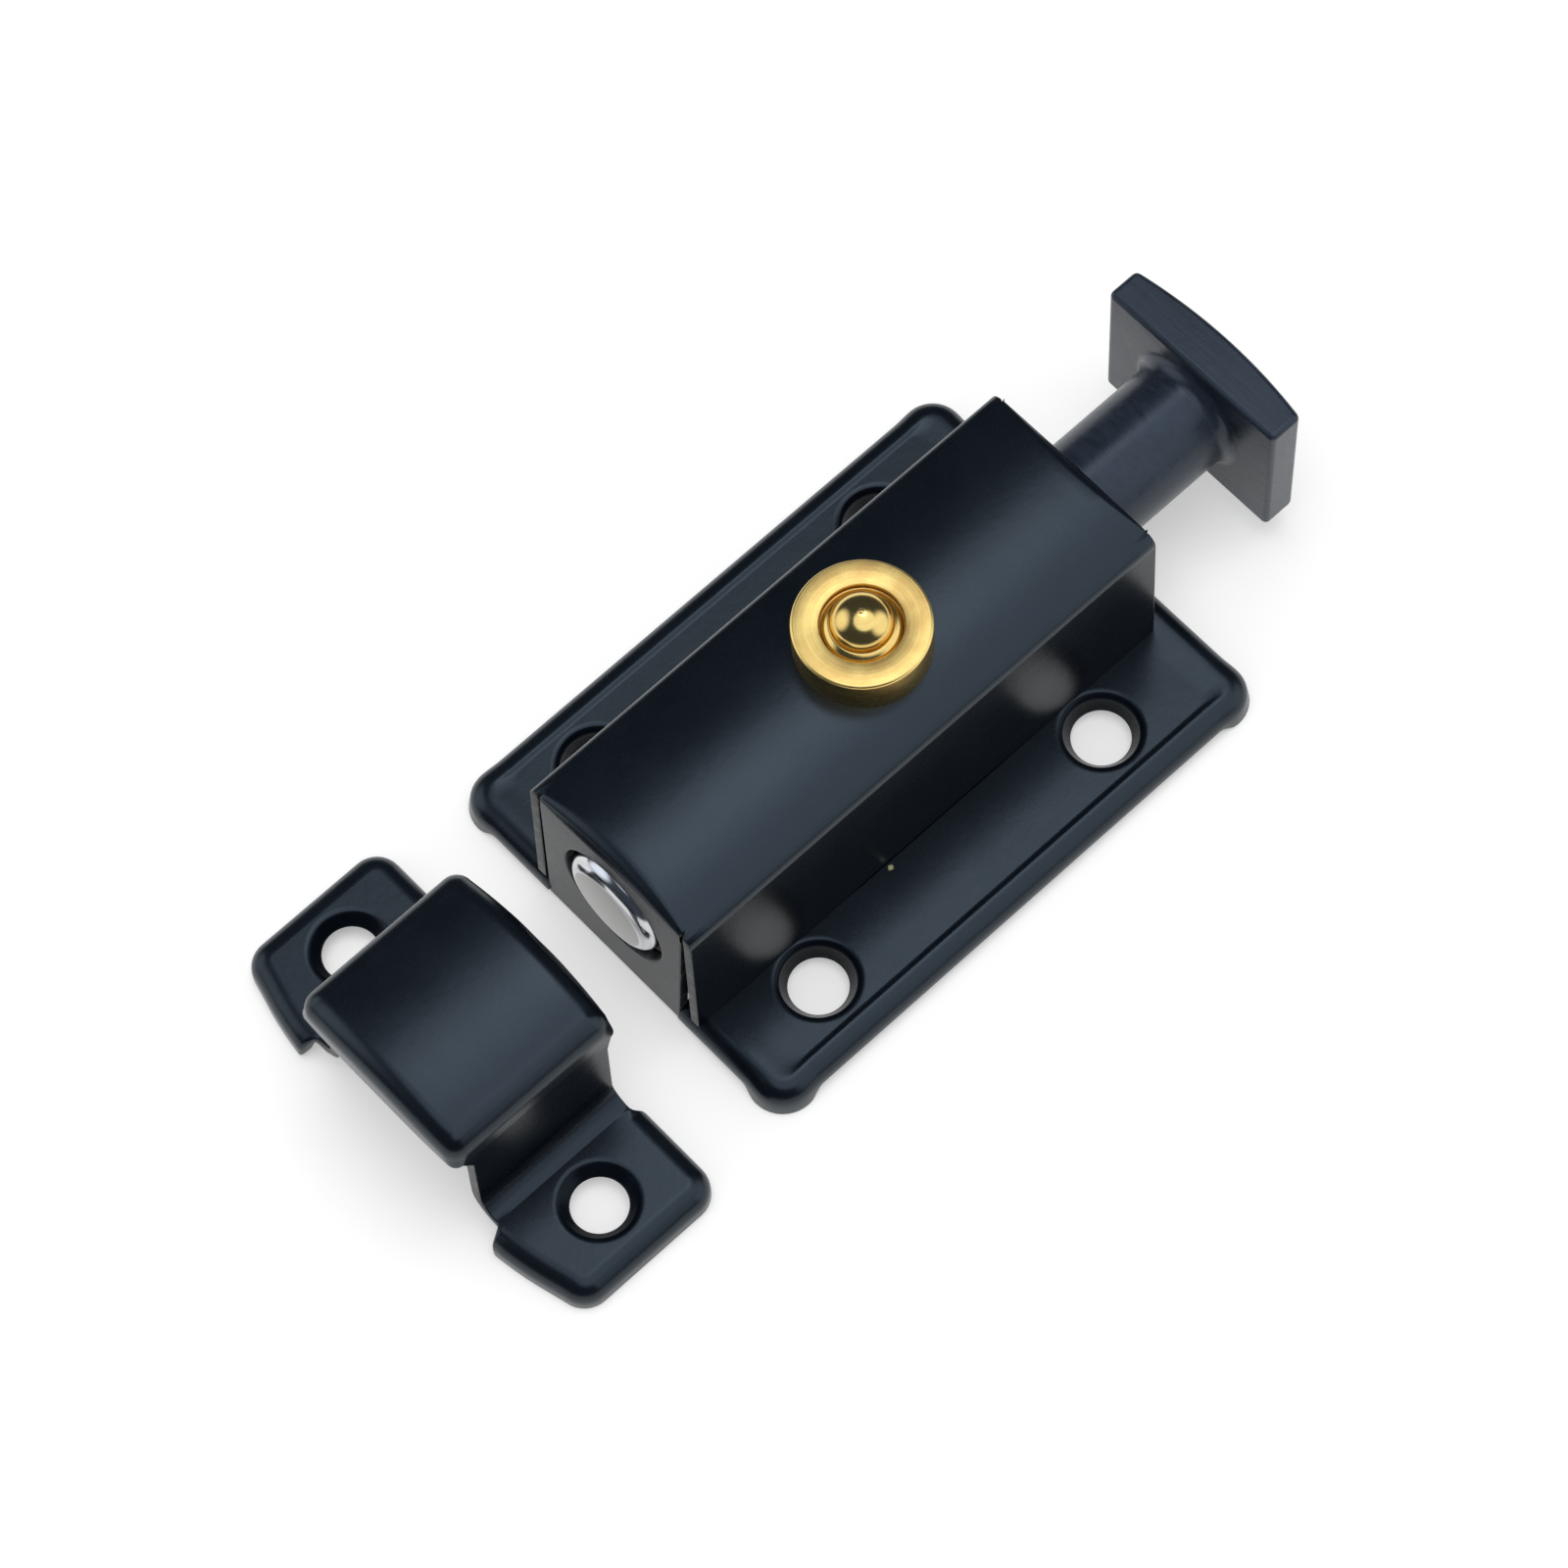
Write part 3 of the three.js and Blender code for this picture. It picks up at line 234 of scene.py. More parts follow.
class SheetSkin:
    """A pressed sheet, drawn as rows of points that each lie on both of its faces."""

    def __init__(self, thickness: float) -> None:
        """Starts an empty sheet.

        Args:
            thickness: Its thickness, in millimetres.
        """
        self.thickness = thickness
        self.outer: list[Point] = []
        self.inner: list[Point] = []
        self.faces: list[tuple[int, ...]] = []
        self.dull: set[tuple[int, ...]] = set()
        self.known: dict[tuple[float, ...], int] = {}

    def row(self, place: Place) -> list[int]:
        """Adds a row of points.

        Args:
            place: Gives the row's points at a depth into the sheet, 0 being its outer face.

        Returns:
            The points' numbers. A point that lies on an earlier one takes its number.
        """
        numbers = []
        for outer, inner in zip(place(0.0), place(self.thickness), strict=True):
            key = tuple(round(v, 3) for v in outer)
            if key not in self.known:
                self.known[key] = len(self.outer)
                self.outer.append(tuple(outer))
                self.inner.append(tuple(inner))
            numbers.append(self.known[key])
        return numbers

    def face(self, corners: Sequence[int]) -> None:
        """Adds one face, without the corners that fall together.

        Args:
            corners: Numbers of its points.
        """
        kept = [c for i, c in enumerate(corners) if c != corners[i - 1]]
        if len(set(kept)) >= 3:
            self.faces.append(tuple(kept))

    def strip(
        self, first: Sequence[int], second: Sequence[int], closed: bool = False, dull: bool = False
    ) -> None:
        """Joins two rows of as many points by a strip of faces.

        Args:
            first: One row.
            second: The other.
            closed: Whether their ends join too.
            dull: Whether the strip is painted thin and dull.
        """
        count = len(first)
        start = len(self.faces)
        for i in range(count if closed else count - 1):
            j = (i + 1) % count
            self.face((first[i], first[j], second[j], second[i]))
        if dull:
            self.dull.update(self.faces[start:])

    def strips(self, rows: Sequence[Sequence[int]], closed: bool = False) -> None:
        """Joins each row to the next by a strip of faces."""
        for first, second in pairwise(rows):
            self.strip(first, second, closed)

    def fill(self, loop: Sequence[int], holes: Sequence[Sequence[int]] = ()) -> None:
        """Fills a flat loop, leaving its holes open.

        Args:
            loop: Points round it.
            holes: Points round each hole.
        """
        rings = [list(loop), *[list(hole) for hole in holes]]
        order = [number for ring in rings for number in ring]
        for triangle in tessellate_polygon([[Vector(self.outer[n]) for n in ring] for ring in rings]):
            self.face([order[corner] for corner in triangle])

    def mirror_across(self) -> None:
        """Adds the mirror image of everything on the other side of the bolt."""
        numbers = []
        for outer, inner in list(zip(self.outer, self.inner, strict=True)):
            twin = [(x, -y, z) for x, y, z in (outer, inner)]
            numbers += self.row(lambda depth, twin=twin: [twin[1] if depth else twin[0]])
        self.dull |= {tuple(numbers[n] for n in face) for face in self.dull}
        self.faces += [tuple(numbers[n] for n in face) for face in self.faces]

    def build(self, name: str) -> Piece:
        """Closes the sheet along its cut edges and makes its piece, each face numbered by its coat.

        Args:
            name: Name of the piece.

        Returns:
            The piece.
        """
        shape = bmesh.new()
        outer = [shape.verts.new(p) for p in self.outer]
        inner = [shape.verts.new(p) for p in self.inner]
        uses: dict[tuple[int, int], int] = {}
        seen: set[tuple[int, ...]] = set()
        for face in self.faces:
            if tuple(sorted(face)) in seen:
                continue
            seen.add(tuple(sorted(face)))
            coat = Coat.THIN_PAINT if face in self.dull else Coat.PAINT
            shape.faces.new([outer[n] for n in face]).material_index = coat.value
            shape.faces.new([inner[n] for n in reversed(face)])
            for i, corner in enumerate(face):
                edge = tuple(sorted((face[i - 1], corner)))
                uses[edge] = uses.get(edge, 0) + 1
        for (a, b), count in uses.items():
            if count == 1:
                rim = shape.faces.new((outer[a], outer[b], inner[b], inner[a]))
                rim.material_index = Coat.CUT_EDGE.value
        loose = [v for v in shape.verts if not v.link_faces]
        bmesh.ops.delete(shape, geom=loose, context="VERTS")
        return finish_mesh(shape, name)


class Solid:
    """A mesh put together from turned, extruded and swept bodies."""

    def __init__(self) -> None:
        """Starts with no body."""
        self.shape = bmesh.new()

    def turn(
        self, profile: Sequence[Plan], axis: Axis, centre: Plan, segments: int = 96, whole: bool = True
    ) -> list[list[bmesh.types.BMVert]]:
        """Adds a turned body.

        Args:
            profile: Outline as (radius, place along the axis), without its first point again.
            axis: Axis that it is turned about.
            centre: Where the axis stands: (x, y) when upright, (y, z) along the bolt.
            segments: Facets round it.
            whole: Whether the outline's last point joins its first.

        Returns:
            The ring of points that each point of the outline makes.
        """
        rings = []
        for radius, place in profile:
            angles = [2 * pi * i / segments for i in range(segments if radius else 1)]
            ring = []
            for angle in angles:
                u, v = radius * cos(angle), radius * sin(angle)
                if axis is Axis.UPRIGHT:
                    ring.append(self.shape.verts.new((centre[0] + u, centre[1] + v, place)))
                else:
                    ring.append(self.shape.verts.new((place, centre[0] + u, centre[1] + v)))
            rings.append(ring)
        following = rings[1:] + rings[:1] if whole else rings[1:]
        for first, second in zip(rings, following):
            for i in range(segments):
                corners = [
                    first[i % len(first)], first[(i + 1) % len(first)],
                    second[(i + 1) % len(second)], second[i % len(second)],
                ]
                kept = [c for k, c in enumerate(corners) if c is not corners[k - 1]]
                if len(kept) >= 3:
                    self.shape.faces.new(kept)
        return rings

    def extrude(self, outline: Sequence[Point], along: Point) -> None:
        """Adds a body with a flat outline, extruded along a vector.

        Args:
            outline: Corners of the outline.
            along: The vector.
        """
        first = [self.shape.verts.new(p) for p in outline]
        second = [self.shape.verts.new(Vector(p) + Vector(along)) for p in outline]
        self.shape.faces.new(first)
        self.shape.faces.new(second[::-1])
        for i in range(len(first)):
            self.shape.faces.new((first[i - 1], first[i], second[i], second[i - 1]))

    def sweep(self, line: Sequence[Vector], radius: float, up: Vector, sides: int = 12) -> None:
        """Adds a round wire along a line that never runs along up, with flat ends.

        Args:
            line: Points along its middle.
            radius: Its radius.
            up: A direction that the line never takes.
            sides: Facets round it.
        """
        rings = []
        for i, point in enumerate(line):
            ahead = (line[min(i + 1, len(line) - 1)] - line[max(i - 1, 0)]).normalized()
            side = ahead.cross(up).normalized()
            lift = side.cross(ahead)
            rings.append([
                self.shape.verts.new(point + radius * (cos(a) * side + sin(a) * lift))
                for a in (2 * pi * k / sides for k in range(sides))
            ])
        for first, second in pairwise(rings):
            for k in range(sides):
                self.shape.faces.new((first[k - 1], first[k], second[k], second[k - 1]))
        self.shape.faces.new(rings[0])
        self.shape.faces.new(rings[-1][::-1])

    def build(self, name: str) -> Piece:
        """Makes the piece."""
        return finish_mesh(self.shape, name)


def turned(name: str, profile: Sequence[Plan], axis: Axis, centre: Plan, segments: int = 96) -> Piece:
    """A piece turned from one whole profile.

    Args:
        name: Name of the piece.
        profile: Its outline, as for Solid.turn.
        axis: Axis that it is turned about.
        centre: Where the axis stands.
        segments: Facets round it.

    Returns:
        The piece.
    """
    body = Solid()
    body.turn(profile, axis, centre, segments)
    return body.build(name)


def keep_crisp(piece: Piece, angle: float) -> None:
    """Leaves a piece's edges unsmoothed where they are sharper than an angle in degrees."""
    piece.data.set_sharp_from_angle(angle=radians(angle))


def split_ring(outer: float, inner: float, gap: float, steps: int) -> list[Plan]:
    """Outline of a snap ring about the origin.

    Args:
        outer: Its outer radius.
        inner: Its inner radius.
        gap: Degrees left open on either side of its mouth's middle.
        steps: Chords along each side of the ring.

    Returns:
        The points, out along one side and back along the other.
    """
    about = (0.0, 0.0)
    return arc(about, outer, gap, 360 - gap, steps) + arc(about, inner, 360 - gap, gap, steps)


def carve(piece: Piece, cutter: Piece) -> None:
    """Cuts one body out of another and removes the cutter.

    Args:
        piece: What is cut.
        cutter: What is cut away.
    """
    cut = piece.modifiers.new("cut", "BOOLEAN")
    cut.operation = "DIFFERENCE"
    cut.solver = "EXACT"
    cut.object = cutter
    graph = bpy.context.evaluated_depsgraph_get()
    carved = bpy.data.meshes.new_from_object(piece.evaluated_get(graph))
    piece.modifiers.clear()
    piece.data = carved
    bpy.data.objects.remove(cutter)


def show(piece: Piece, body: Body, slot: Slot, nodes: Sequence[str], *finishes: Material) -> Piece:
    """Dresses a piece and lets it ride on its body in place of CAD nodes.

    Args:
        piece: The piece, in place.
        body: CAD body that it moves with.
        slot: Material slot of the record; not used.
        nodes: CAD nodes that it stands for.
        finishes: Materials, one for each material number of its faces.

    Returns:
        The piece.
    """
    for finish in finishes:
        piece.data.materials.append(finish)
    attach(piece, body.value)
    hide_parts(*nodes)
    log.info("%s stands for %s on %s", piece.name, ", ".join(nodes), body.value)
    return piece


# --- Shader graphs ---


class Signal:
    """A shader socket that takes part in Python arithmetic."""

    def __init__(self, graph: "Graph", socket: bpy.types.NodeSocket) -> None:
        """Wraps an output socket of a graph."""
        self.graph = graph
        self.socket = socket

    def __add__(self, other: "Signal | float") -> "Signal":
        """Sum."""
        return self.graph.math("ADD", self, other)

    __radd__ = __add__

    def __sub__(self, other: "Signal | float") -> "Signal":
        """Difference."""
        return self.graph.math("SUBTRACT", self, other)

    def __rsub__(self, other: float) -> "Signal":
        """Difference from a number."""
        return self.graph.math("SUBTRACT", other, self)

    def __mul__(self, other: "Signal | float") -> "Signal":
        """Product."""
        return self.graph.math("MULTIPLY", self, other)

    __rmul__ = __mul__

    def __or__(self, other: "Signal | float") -> "Signal":
        """The greater of two values."""
        return self.graph.math("MAXIMUM", self, other)

    def between(self, low: float, high: float) -> "Signal":
        """Smooth step: 0 at low, 1 at high."""
        feeds = {"Value": self, "From Min": low, "From Max": high}
        return self.graph.node("ShaderNodeMapRange", {"interpolation_type": "SMOOTHSTEP"}, feeds)

    def swing(self, width: float) -> "Signal":
        """Noise about 0.5 made a swing about 0."""
        return (self - 0.5) * width

    def blended(self, other: "Signal", share: float) -> "Signal":
        """This value with a share of another in it."""
        return self * (1 - share) + other * share


Feed = Signal | float | Sequence[float]
Feeds = dict[str | int, Feed]


@dataclass(frozen=True)
class Grain:
    """A cloudy noise: its cells for each millimetre, its octaves and how rough they are."""

    scale: float
    detail: float = 3.0
    roughness: float = 0.6

    def feeds(self) -> Feeds:
        """The noise's sockets."""
        return {"Scale": self.scale, "Detail": self.detail, "Roughness": self.roughness}


class Graph:
    """The node tree of one material or world."""

    def __init__(self, tree: bpy.types.NodeTree) -> None:
        """Starts from an emptied tree."""
        self.tree = tree
        tree.nodes.clear()

    def node(
        self,
        kind: str,
        settings: dict[str, Any] | None = None,
        feeds: Feeds | None = None,
        output: str | int = 0,
    ) -> Signal:
        """Adds one node.

        Args:
            kind: Type of the node.
            settings: Its settings, which are set first.
            feeds: Values or links of its sockets, by name or number.
            output: Which of its output sockets to return.

        Returns:
            The output socket, or the first input of a node that has no output.
        """
        made = self.tree.nodes.new(kind)
        for name, value in (settings or {}).items():
            setattr(made, name, value)
        for key, value in (feeds or {}).items():
            if isinstance(value, Signal):
                self.tree.links.new(value.socket, made.inputs[key])
            else:
                made.inputs[key].default_value = value
        return Signal(self, made.outputs[output]) if made.outputs else Signal(self, made.inputs[0])

    def math(self, operation: str, first: Signal | float, second: Signal | float = 0.0) -> Signal:
        """A Math node."""
        return self.node("ShaderNodeMath", {"operation": operation}, {0: first, 1: second})

    def vector(self, operation: str, first: Feed, second: Feed, output: int = 0) -> Signal:
        """A Vector Math node of two vectors."""
        return self.node("ShaderNodeVectorMath", {"operation": operation}, {0: first, 1: second}, output)

    def mix(self, first: Feed, second: Feed, share: Signal | float) -> Signal:
        """A colour a share of the way from the first to the second."""
        return self.node("ShaderNodeMix", {"data_type": "RGBA"}, {0: share, 6: first, 7: second}, 2)

    def place(self) -> Signal:
        """Place on the piece, in millimetres."""
        at = self.node("ShaderNodeTexCoord", output="Object")
        return self.node("ShaderNodeVectorMath", {"operation": "SCALE"}, {0: at, "Scale": 1 / MM})

    def noise(self, place: Signal, grain: Grain) -> Signal:
        """Cloudy noise about 0.5."""
        return self.node("ShaderNodeTexNoise", None, {"Vector": place, **grain.feeds()}, "Fac")

    def rings(self, along: Signal, grain: Grain) -> Signal:
        """Uneven lines along one distance, as a turning tool leaves them."""
        feeds = {"W": along, **grain.feeds()}
        return self.node("ShaderNodeTexNoise", {"noise_dimensions": "1D"}, feeds, "Fac")

    def near(self, place: Signal, centre: Point, radius: float, ragged: Signal) -> Signal:
        """Mask of a ragged spot about a point.

        Args:
            place: Place on the piece.
            centre: Middle of the spot.
            radius: Its radius.
            ragged: Noise of its edge.

        Returns:
            The mask.
        """
        distance = self.vector("DISTANCE", place, centre, 1)
        raggedness, solid_share = 1.6, 0.7
        return (distance + ragged.swing(radius) * raggedness).between(radius, radius * solid_share)

    def edges(self, reach: float) -> Signal:
        """Mask of the edges that turn within a reach in millimetres.

        Args:
            reach: How far from an edge it shows.

        Returns:
            The mask.
        """
        eased = self.node("ShaderNodeBevel", {"samples": 6}, {"Radius": reach * MM})
        slightest, full = 0.02, 0.1
        return (1 - self.vector("DOT_PRODUCT", eased, self.true_normal(), 1)).between(slightest, full)

    def true_normal(self) -> Signal:
        """Normal of the shape without its bumps."""
        return self.node("ShaderNodeNewGeometry", output="Normal")

    def bump(self, height: Signal, depth: float, normal: Signal | None = None) -> Signal:
        """Normal bent by a height from 0 to 1 that stands for a depth in millimetres.

        Args:
            height: The height.
            depth: What it stands for.
            normal: Normal that it bends, if not the shape's.

        Returns:
            The bent normal.
        """
        feeds: Feeds = {"Strength": 1.0, "Distance": depth * MM, "Height": height}
        if normal:
            feeds["Normal"] = normal
        return self.node("ShaderNodeBump", None, feeds)

    def surface(self, feeds: Feeds) -> None:
        """Ends the tree in a Principled surface with these sockets."""
        shader = self.node("ShaderNodeBsdfPrincipled", None, feeds)
        self.node("ShaderNodeOutputMaterial", None, {"Surface": shader})


def new_material(name: str) -> tuple[Material, Graph]:
    """Starts a material.

    Args:
        name: Its name.

    Returns:
        The material and its empty graph.
    """
    material = bpy.data.materials.new(name)
    material.use_nodes = True
    return material, Graph(material.node_tree)


# --- Finishes ---


def toned(colour: Colour, factor: float) -> Colour:
    """A colour made darker or lighter by a factor."""
    return (*(level * factor for level in colour[:3]), 1.0)


def grey(level: float) -> Colour:
    """A colour without a tint."""
    return (level, level, level, 1.0)


@dataclass(frozen=True)
class Spot:
    """A chip or a grain of dirt on a painted piece."""

    place: Point
    radius: float
    colour: Colour


@dataclass(frozen=True)
class Paint:
    """Glossy dipped paint on pressed steel, thin on edges and never quite even."""

    name: str
    colour: Colour
    worn: Colour
    roughness: float
    unevenness: float
    peel: float
    wear: float
    sheen: Colour = (0.72, 0.88, 1.0, 1.0)
    index: float = 1.5
    spots: tuple[Spot, ...] = ()
    clouds: Grain = Grain(0.22, 4.0)
    fine: Grain = Grain(1.9, 3.0, 0.55)
    grit: Grain = Grain(11.0, 2.0)
    grit_share: float = 0.5
    grit_unevenness: float = 0.4
    grit_peel: float = 0.35
    tones: Plan = (0.7, 1.35)
    tone_band: Plan = (0.3, 0.7)
    edge_reach: float = 0.22
    wear_band: Plan = (0.42, 0.72)
    wave_depth: float = 0.02
    worn_roughness: float = 0.2
    spot_roughness: float = 0.3

    def material(self) -> Material:
        """Builds the paint.

        Returns:
            The material.
        """
        material, graph = new_material(self.name)
        place = graph.place()
        clouds, fine, grit = (graph.noise(place, grain) for grain in (self.clouds, self.fine, self.grit))
        worn = graph.edges(self.edge_reach) * fine.between(*self.wear_band) * self.wear
        dark, light = (toned(self.colour, tone) for tone in self.tones)
        colour = graph.mix(dark, light, clouds.blended(grit, self.grit_share).between(*self.tone_band))
        colour = graph.mix(colour, self.worn, worn)
        roughness = self.roughness + clouds.swing(self.unevenness) + worn * self.worn_roughness
        roughness = roughness + grit.swing(self.unevenness) * self.grit_unevenness
        for spot in self.spots:
            mask = graph.near(place, spot.place, spot.radius, grit)
            colour = graph.mix(colour, spot.colour, mask)
            roughness = roughness + mask * self.spot_roughness
        waves = graph.bump(clouds, self.wave_depth)
        orange_peel = graph.bump(fine, self.peel, waves)
        graph.surface({
            "Base Color": colour,
            "Roughness": roughness,
            "Normal": graph.bump(grit, self.peel * self.grit_peel, orange_peel),
            "IOR": self.index,
            "Specular Tint": self.sheen,
        })
        return material


@dataclass(frozen=True)
class CutEdge:
    """Sheared edge of painted sheet: thin paint over the torn grain of the cut."""

    name: str
    colour: Colour
    bare: Colour
    roughness: Plan = (0.34, 0.2)
    tears: Grain = Grain(5.0)
    tear_depth: float = 0.02
    patches: Grain = Grain(0.9)
    bare_band: Plan = (0.5, 0.68)
    bareness: float = 0.6
    index: float = 1.5

    def material(self) -> Material:
        """Builds the edge.

        Returns:
            The material.
        """
        material, graph = new_material(self.name)
        place = graph.place()
        tears, patches = graph.noise(place, self.tears), graph.noise(place, self.patches)
        bared = patches.between(*self.bare_band) * self.bareness
        least, swing = self.roughness
        graph.surface({
            "Base Color": graph.mix(self.colour, self.bare, bared),
            "Roughness": least + tears * swing,
            "Normal": graph.bump(tears, self.tear_depth),
            "IOR": self.index,
        })
        return material


@dataclass(frozen=True)
class BrushedPaint:
    """Thin paint over filed steel, whose strokes still show through."""

    name: str
    colour: Colour
    worn: Colour
    roughness: float
    stroke: Point
    sheen: Colour = (0.75, 0.88, 1.0, 1.0)
    clouds: Grain = Grain(0.3, 4.0)
    strokes: Grain = Grain(2.4, 4.0, 0.7)
    fine: Grain = Grain(2.4)
    index: float = 1.5
    cloud_share: float = 0.4
    stroke_swing: float = 0.22
    cloud_swing: float = 0.1
    tones: Plan = (0.75, 1.35)
    tone_band: Plan = (0.35, 0.65)
    edge_reach: float = 0.3
    wear_band: Plan = (0.45, 0.7)
    wear: float = 0.3
    stroke_depth: float = 0.012
    fine_depth: float = 0.006

    def material(self) -> Material:
        """Builds the paint.

        Returns:
            The material.
        """
        material, graph = new_material(self.name)
        place = graph.place()
        clouds = graph.noise(place, self.clouds)
        strokes = graph.noise(graph.vector("MULTIPLY", place, self.stroke), self.strokes)
        fine = graph.noise(place, self.fine)
        dark, light = (toned(self.colour, tone) for tone in self.tones)
        colour = graph.mix(dark, light, strokes.blended(clouds, self.cloud_share).between(*self.tone_band))
        worn = graph.edges(self.edge_reach) * fine.between(*self.wear_band) * self.wear
        roughness = self.roughness + strokes.swing(self.stroke_swing)
        graph.surface({
            "Base Color": graph.mix(colour, self.worn, worn),
            "Roughness": roughness + clouds.swing(self.cloud_swing),
            "Normal": graph.bump(fine, self.fine_depth, graph.bump(strokes, self.stroke_depth)),
            "IOR": self.index,
            "Specular Tint": self.sheen,
        })
        return material


@dataclass(frozen=True)
class TurnedMetal:
    """Bare or plated metal with the rings that the turning tool left."""

    name: str
    colour: Colour
    shade: Colour
    axis: Axis
    roughness: float
    ring_depth: float
    centre: Point = (0.0, 0.0, 0.0)
    tarnish: float = 0.5
    # Colour of the face that looks along the axis: painted shade for the shaded floor that this face
    # reflects.
    painted_end_shade: Colour | None = None
    rings: Grain = Grain(7.0, 3.0, 0.65)
    ring_slant: float = 1.3
    clouds: Grain = Grain(0.5, 4.0)
    fine: Grain = Grain(6.0)
    cloud_share: float = 0.45
    ring_swing: float = 0.16
    fine_swing: float = 0.08
    shade_band: Plan = (0.62, 0.38)
    painted_end_band: Plan = (0.985, 0.997)

    def material(self) -> Material:
        """Builds the metal.

        Returns:
            The material.
        """
        material, graph = new_material(self.name)
        place = graph.place()
        from_centre = graph.vector("SUBTRACT", place, self.centre)
        across, along = (
            ((1.0, 1.0, 0.0), (0.0, 0.0, 1.0)) if self.axis is Axis.UPRIGHT
            else ((0.0, 1.0, 1.0), (1.0, 0.0, 0.0))
        )
        radius = graph.vector("LENGTH", graph.vector("MULTIPLY", from_centre, across), (0, 0, 0), 1)
        distance = graph.vector("DOT_PRODUCT", from_centre, along, 1)
        rings = graph.rings(radius + distance * self.ring_slant, self.rings)
        clouds, fine = graph.noise(place, self.clouds), graph.noise(place, self.fine)
        shaded = rings.blended(clouds, self.cloud_share).between(*self.shade_band) * self.tarnish
        colour = graph.mix(self.colour, self.shade, shaded)
        # The face that looks along the axis is darkened with painted shade, which stands in for the shaded
        # floor that the bolt's end reflects.
        if self.painted_end_shade:
            endwise = graph.vector("DOT_PRODUCT", graph.true_normal(), along, 1)
            colour = graph.mix(colour, self.painted_end_shade, endwise.between(*self.painted_end_band))
        graph.surface({
            "Base Color": colour,
            "Metallic": 1.0,
            "Roughness": self.roughness + rings.swing(self.ring_swing) + fine.swing(self.fine_swing),
            "Normal": graph.bump(rings, self.ring_depth),
        })
        return material


@dataclass(frozen=True)
class DrawnWire:
    """Drawn spring steel, dulled by oil."""

    name: str
    colour: Colour
    shade: Colour
    roughness: float = 0.28
    clouds: Grain = Grain(0.8, 4.0, 0.65)
    fine: Grain = Grain(9.0)
    cloud_swing: float = 0.2
    fine_swing: float = 0.1
    shade_band: Plan = (0.35, 0.65)
    fine_depth: float = 0.004

    def material(self) -> Material:
        """Builds the steel.

        Returns:
            The material.
        """
        material, graph = new_material(self.name)
        place = graph.place()
        clouds, fine = graph.noise(place, self.clouds), graph.noise(place, self.fine)
        graph.surface({
            "Base Color": graph.mix(self.colour, self.shade, clouds.between(*self.shade_band)),
            "Metallic": 1.0,
            "Roughness": self.roughness + clouds.swing(self.cloud_swing) + fine.swing(self.fine_swing),
            "Normal": graph.bump(fine, self.fine_depth),
        })
        return material


# --- Pressed sheet pieces ---


@dataclass(frozen=True)
class Dimple:
    """Countersunk dimple pressed into a sheet, with a screw hole at its bottom."""

    mouth: float
    hole: float
    depth: float
    lip: float = 0.5
    lip_angle: float = 46.0
    land: float = 0.2
    lip_steps: int = 6
    margin: float = 0.12
    foot_round: Plan = (0.1, 0.08)
    wall_head: float = 0.6
    wall_foot: float = 0.75
    back_shares: tuple[Plan, tuple[float, ...]] = ((0.04, 0.28), (0.9, 0.96, 1.0))
    dull_from: int = 4
    segments: int = 64

    def press(self, skin: SheetSkin, centre: Plan, top: float) -> list[int]:
        """Adds the dimple's wall to a sheet.

        Args:
            skin: The sheet.
            centre: Its place in plan.
            top: Height of the sheet's outer face.

        Returns:
            The mouth's points, for the flat round it.
        """
        sheet = skin.thickness
        mouth, hole = self.mouth / 2, self.hole / 2
        foot = top - self.depth
        radius = self.lip / sin(radians(self.lip_angle))
        turns = [radians(angle) for angle in spread(0, self.lip_angle, self.lip_steps)]
        outer = [
            (mouth + self.margin, top),
            *[(mouth - radius * sin(a), top - radius * (1 - cos(a))) for a in turns],
            (hole + self.foot_round[0], foot + self.land + self.foot_round[1]),
            (hole, foot + self.land),
            (hole, foot),
        ]
        under = (mouth + self.wall_head * sheet + self.margin, top - sheet)
        below = (hole + self.wall_foot * sheet, foot)
        lip_shares, foot_shares = self.back_shares
        shares = [0.0, *spread(*lip_shares, self.lip_steps), *foot_shares]
        inner = [(blend(under[0], below[0], s), blend(under[1], below[1], s)) for s in shares]
        rows = [skin.row(partial(self.ring, centre, faces)) for faces in zip(outer, inner, strict=True)]
        for i, (first, second) in enumerate(pairwise(rows)):
            skin.strip(first, second, closed=True, dull=i >= self.dull_from)
        return rows[0]

    def ring(self, centre: Plan, faces: tuple[Plan, Plan], depth: float) -> list[Point]:
        """One ring of the wall.

        Args:
            centre: Its middle in plan.
            faces: Its radius and height on the sheet's outer face, and on its inner face.
            depth: Depth into the sheet.

        Returns:
            The ring's points.
        """
        radius, z = faces[1] if depth else faces[0]
        turns = [2 * pi * i / self.segments for i in range(self.segments)]
        return [(centre[0] + radius * cos(a), centre[1] + radius * sin(a), z) for a in turns]


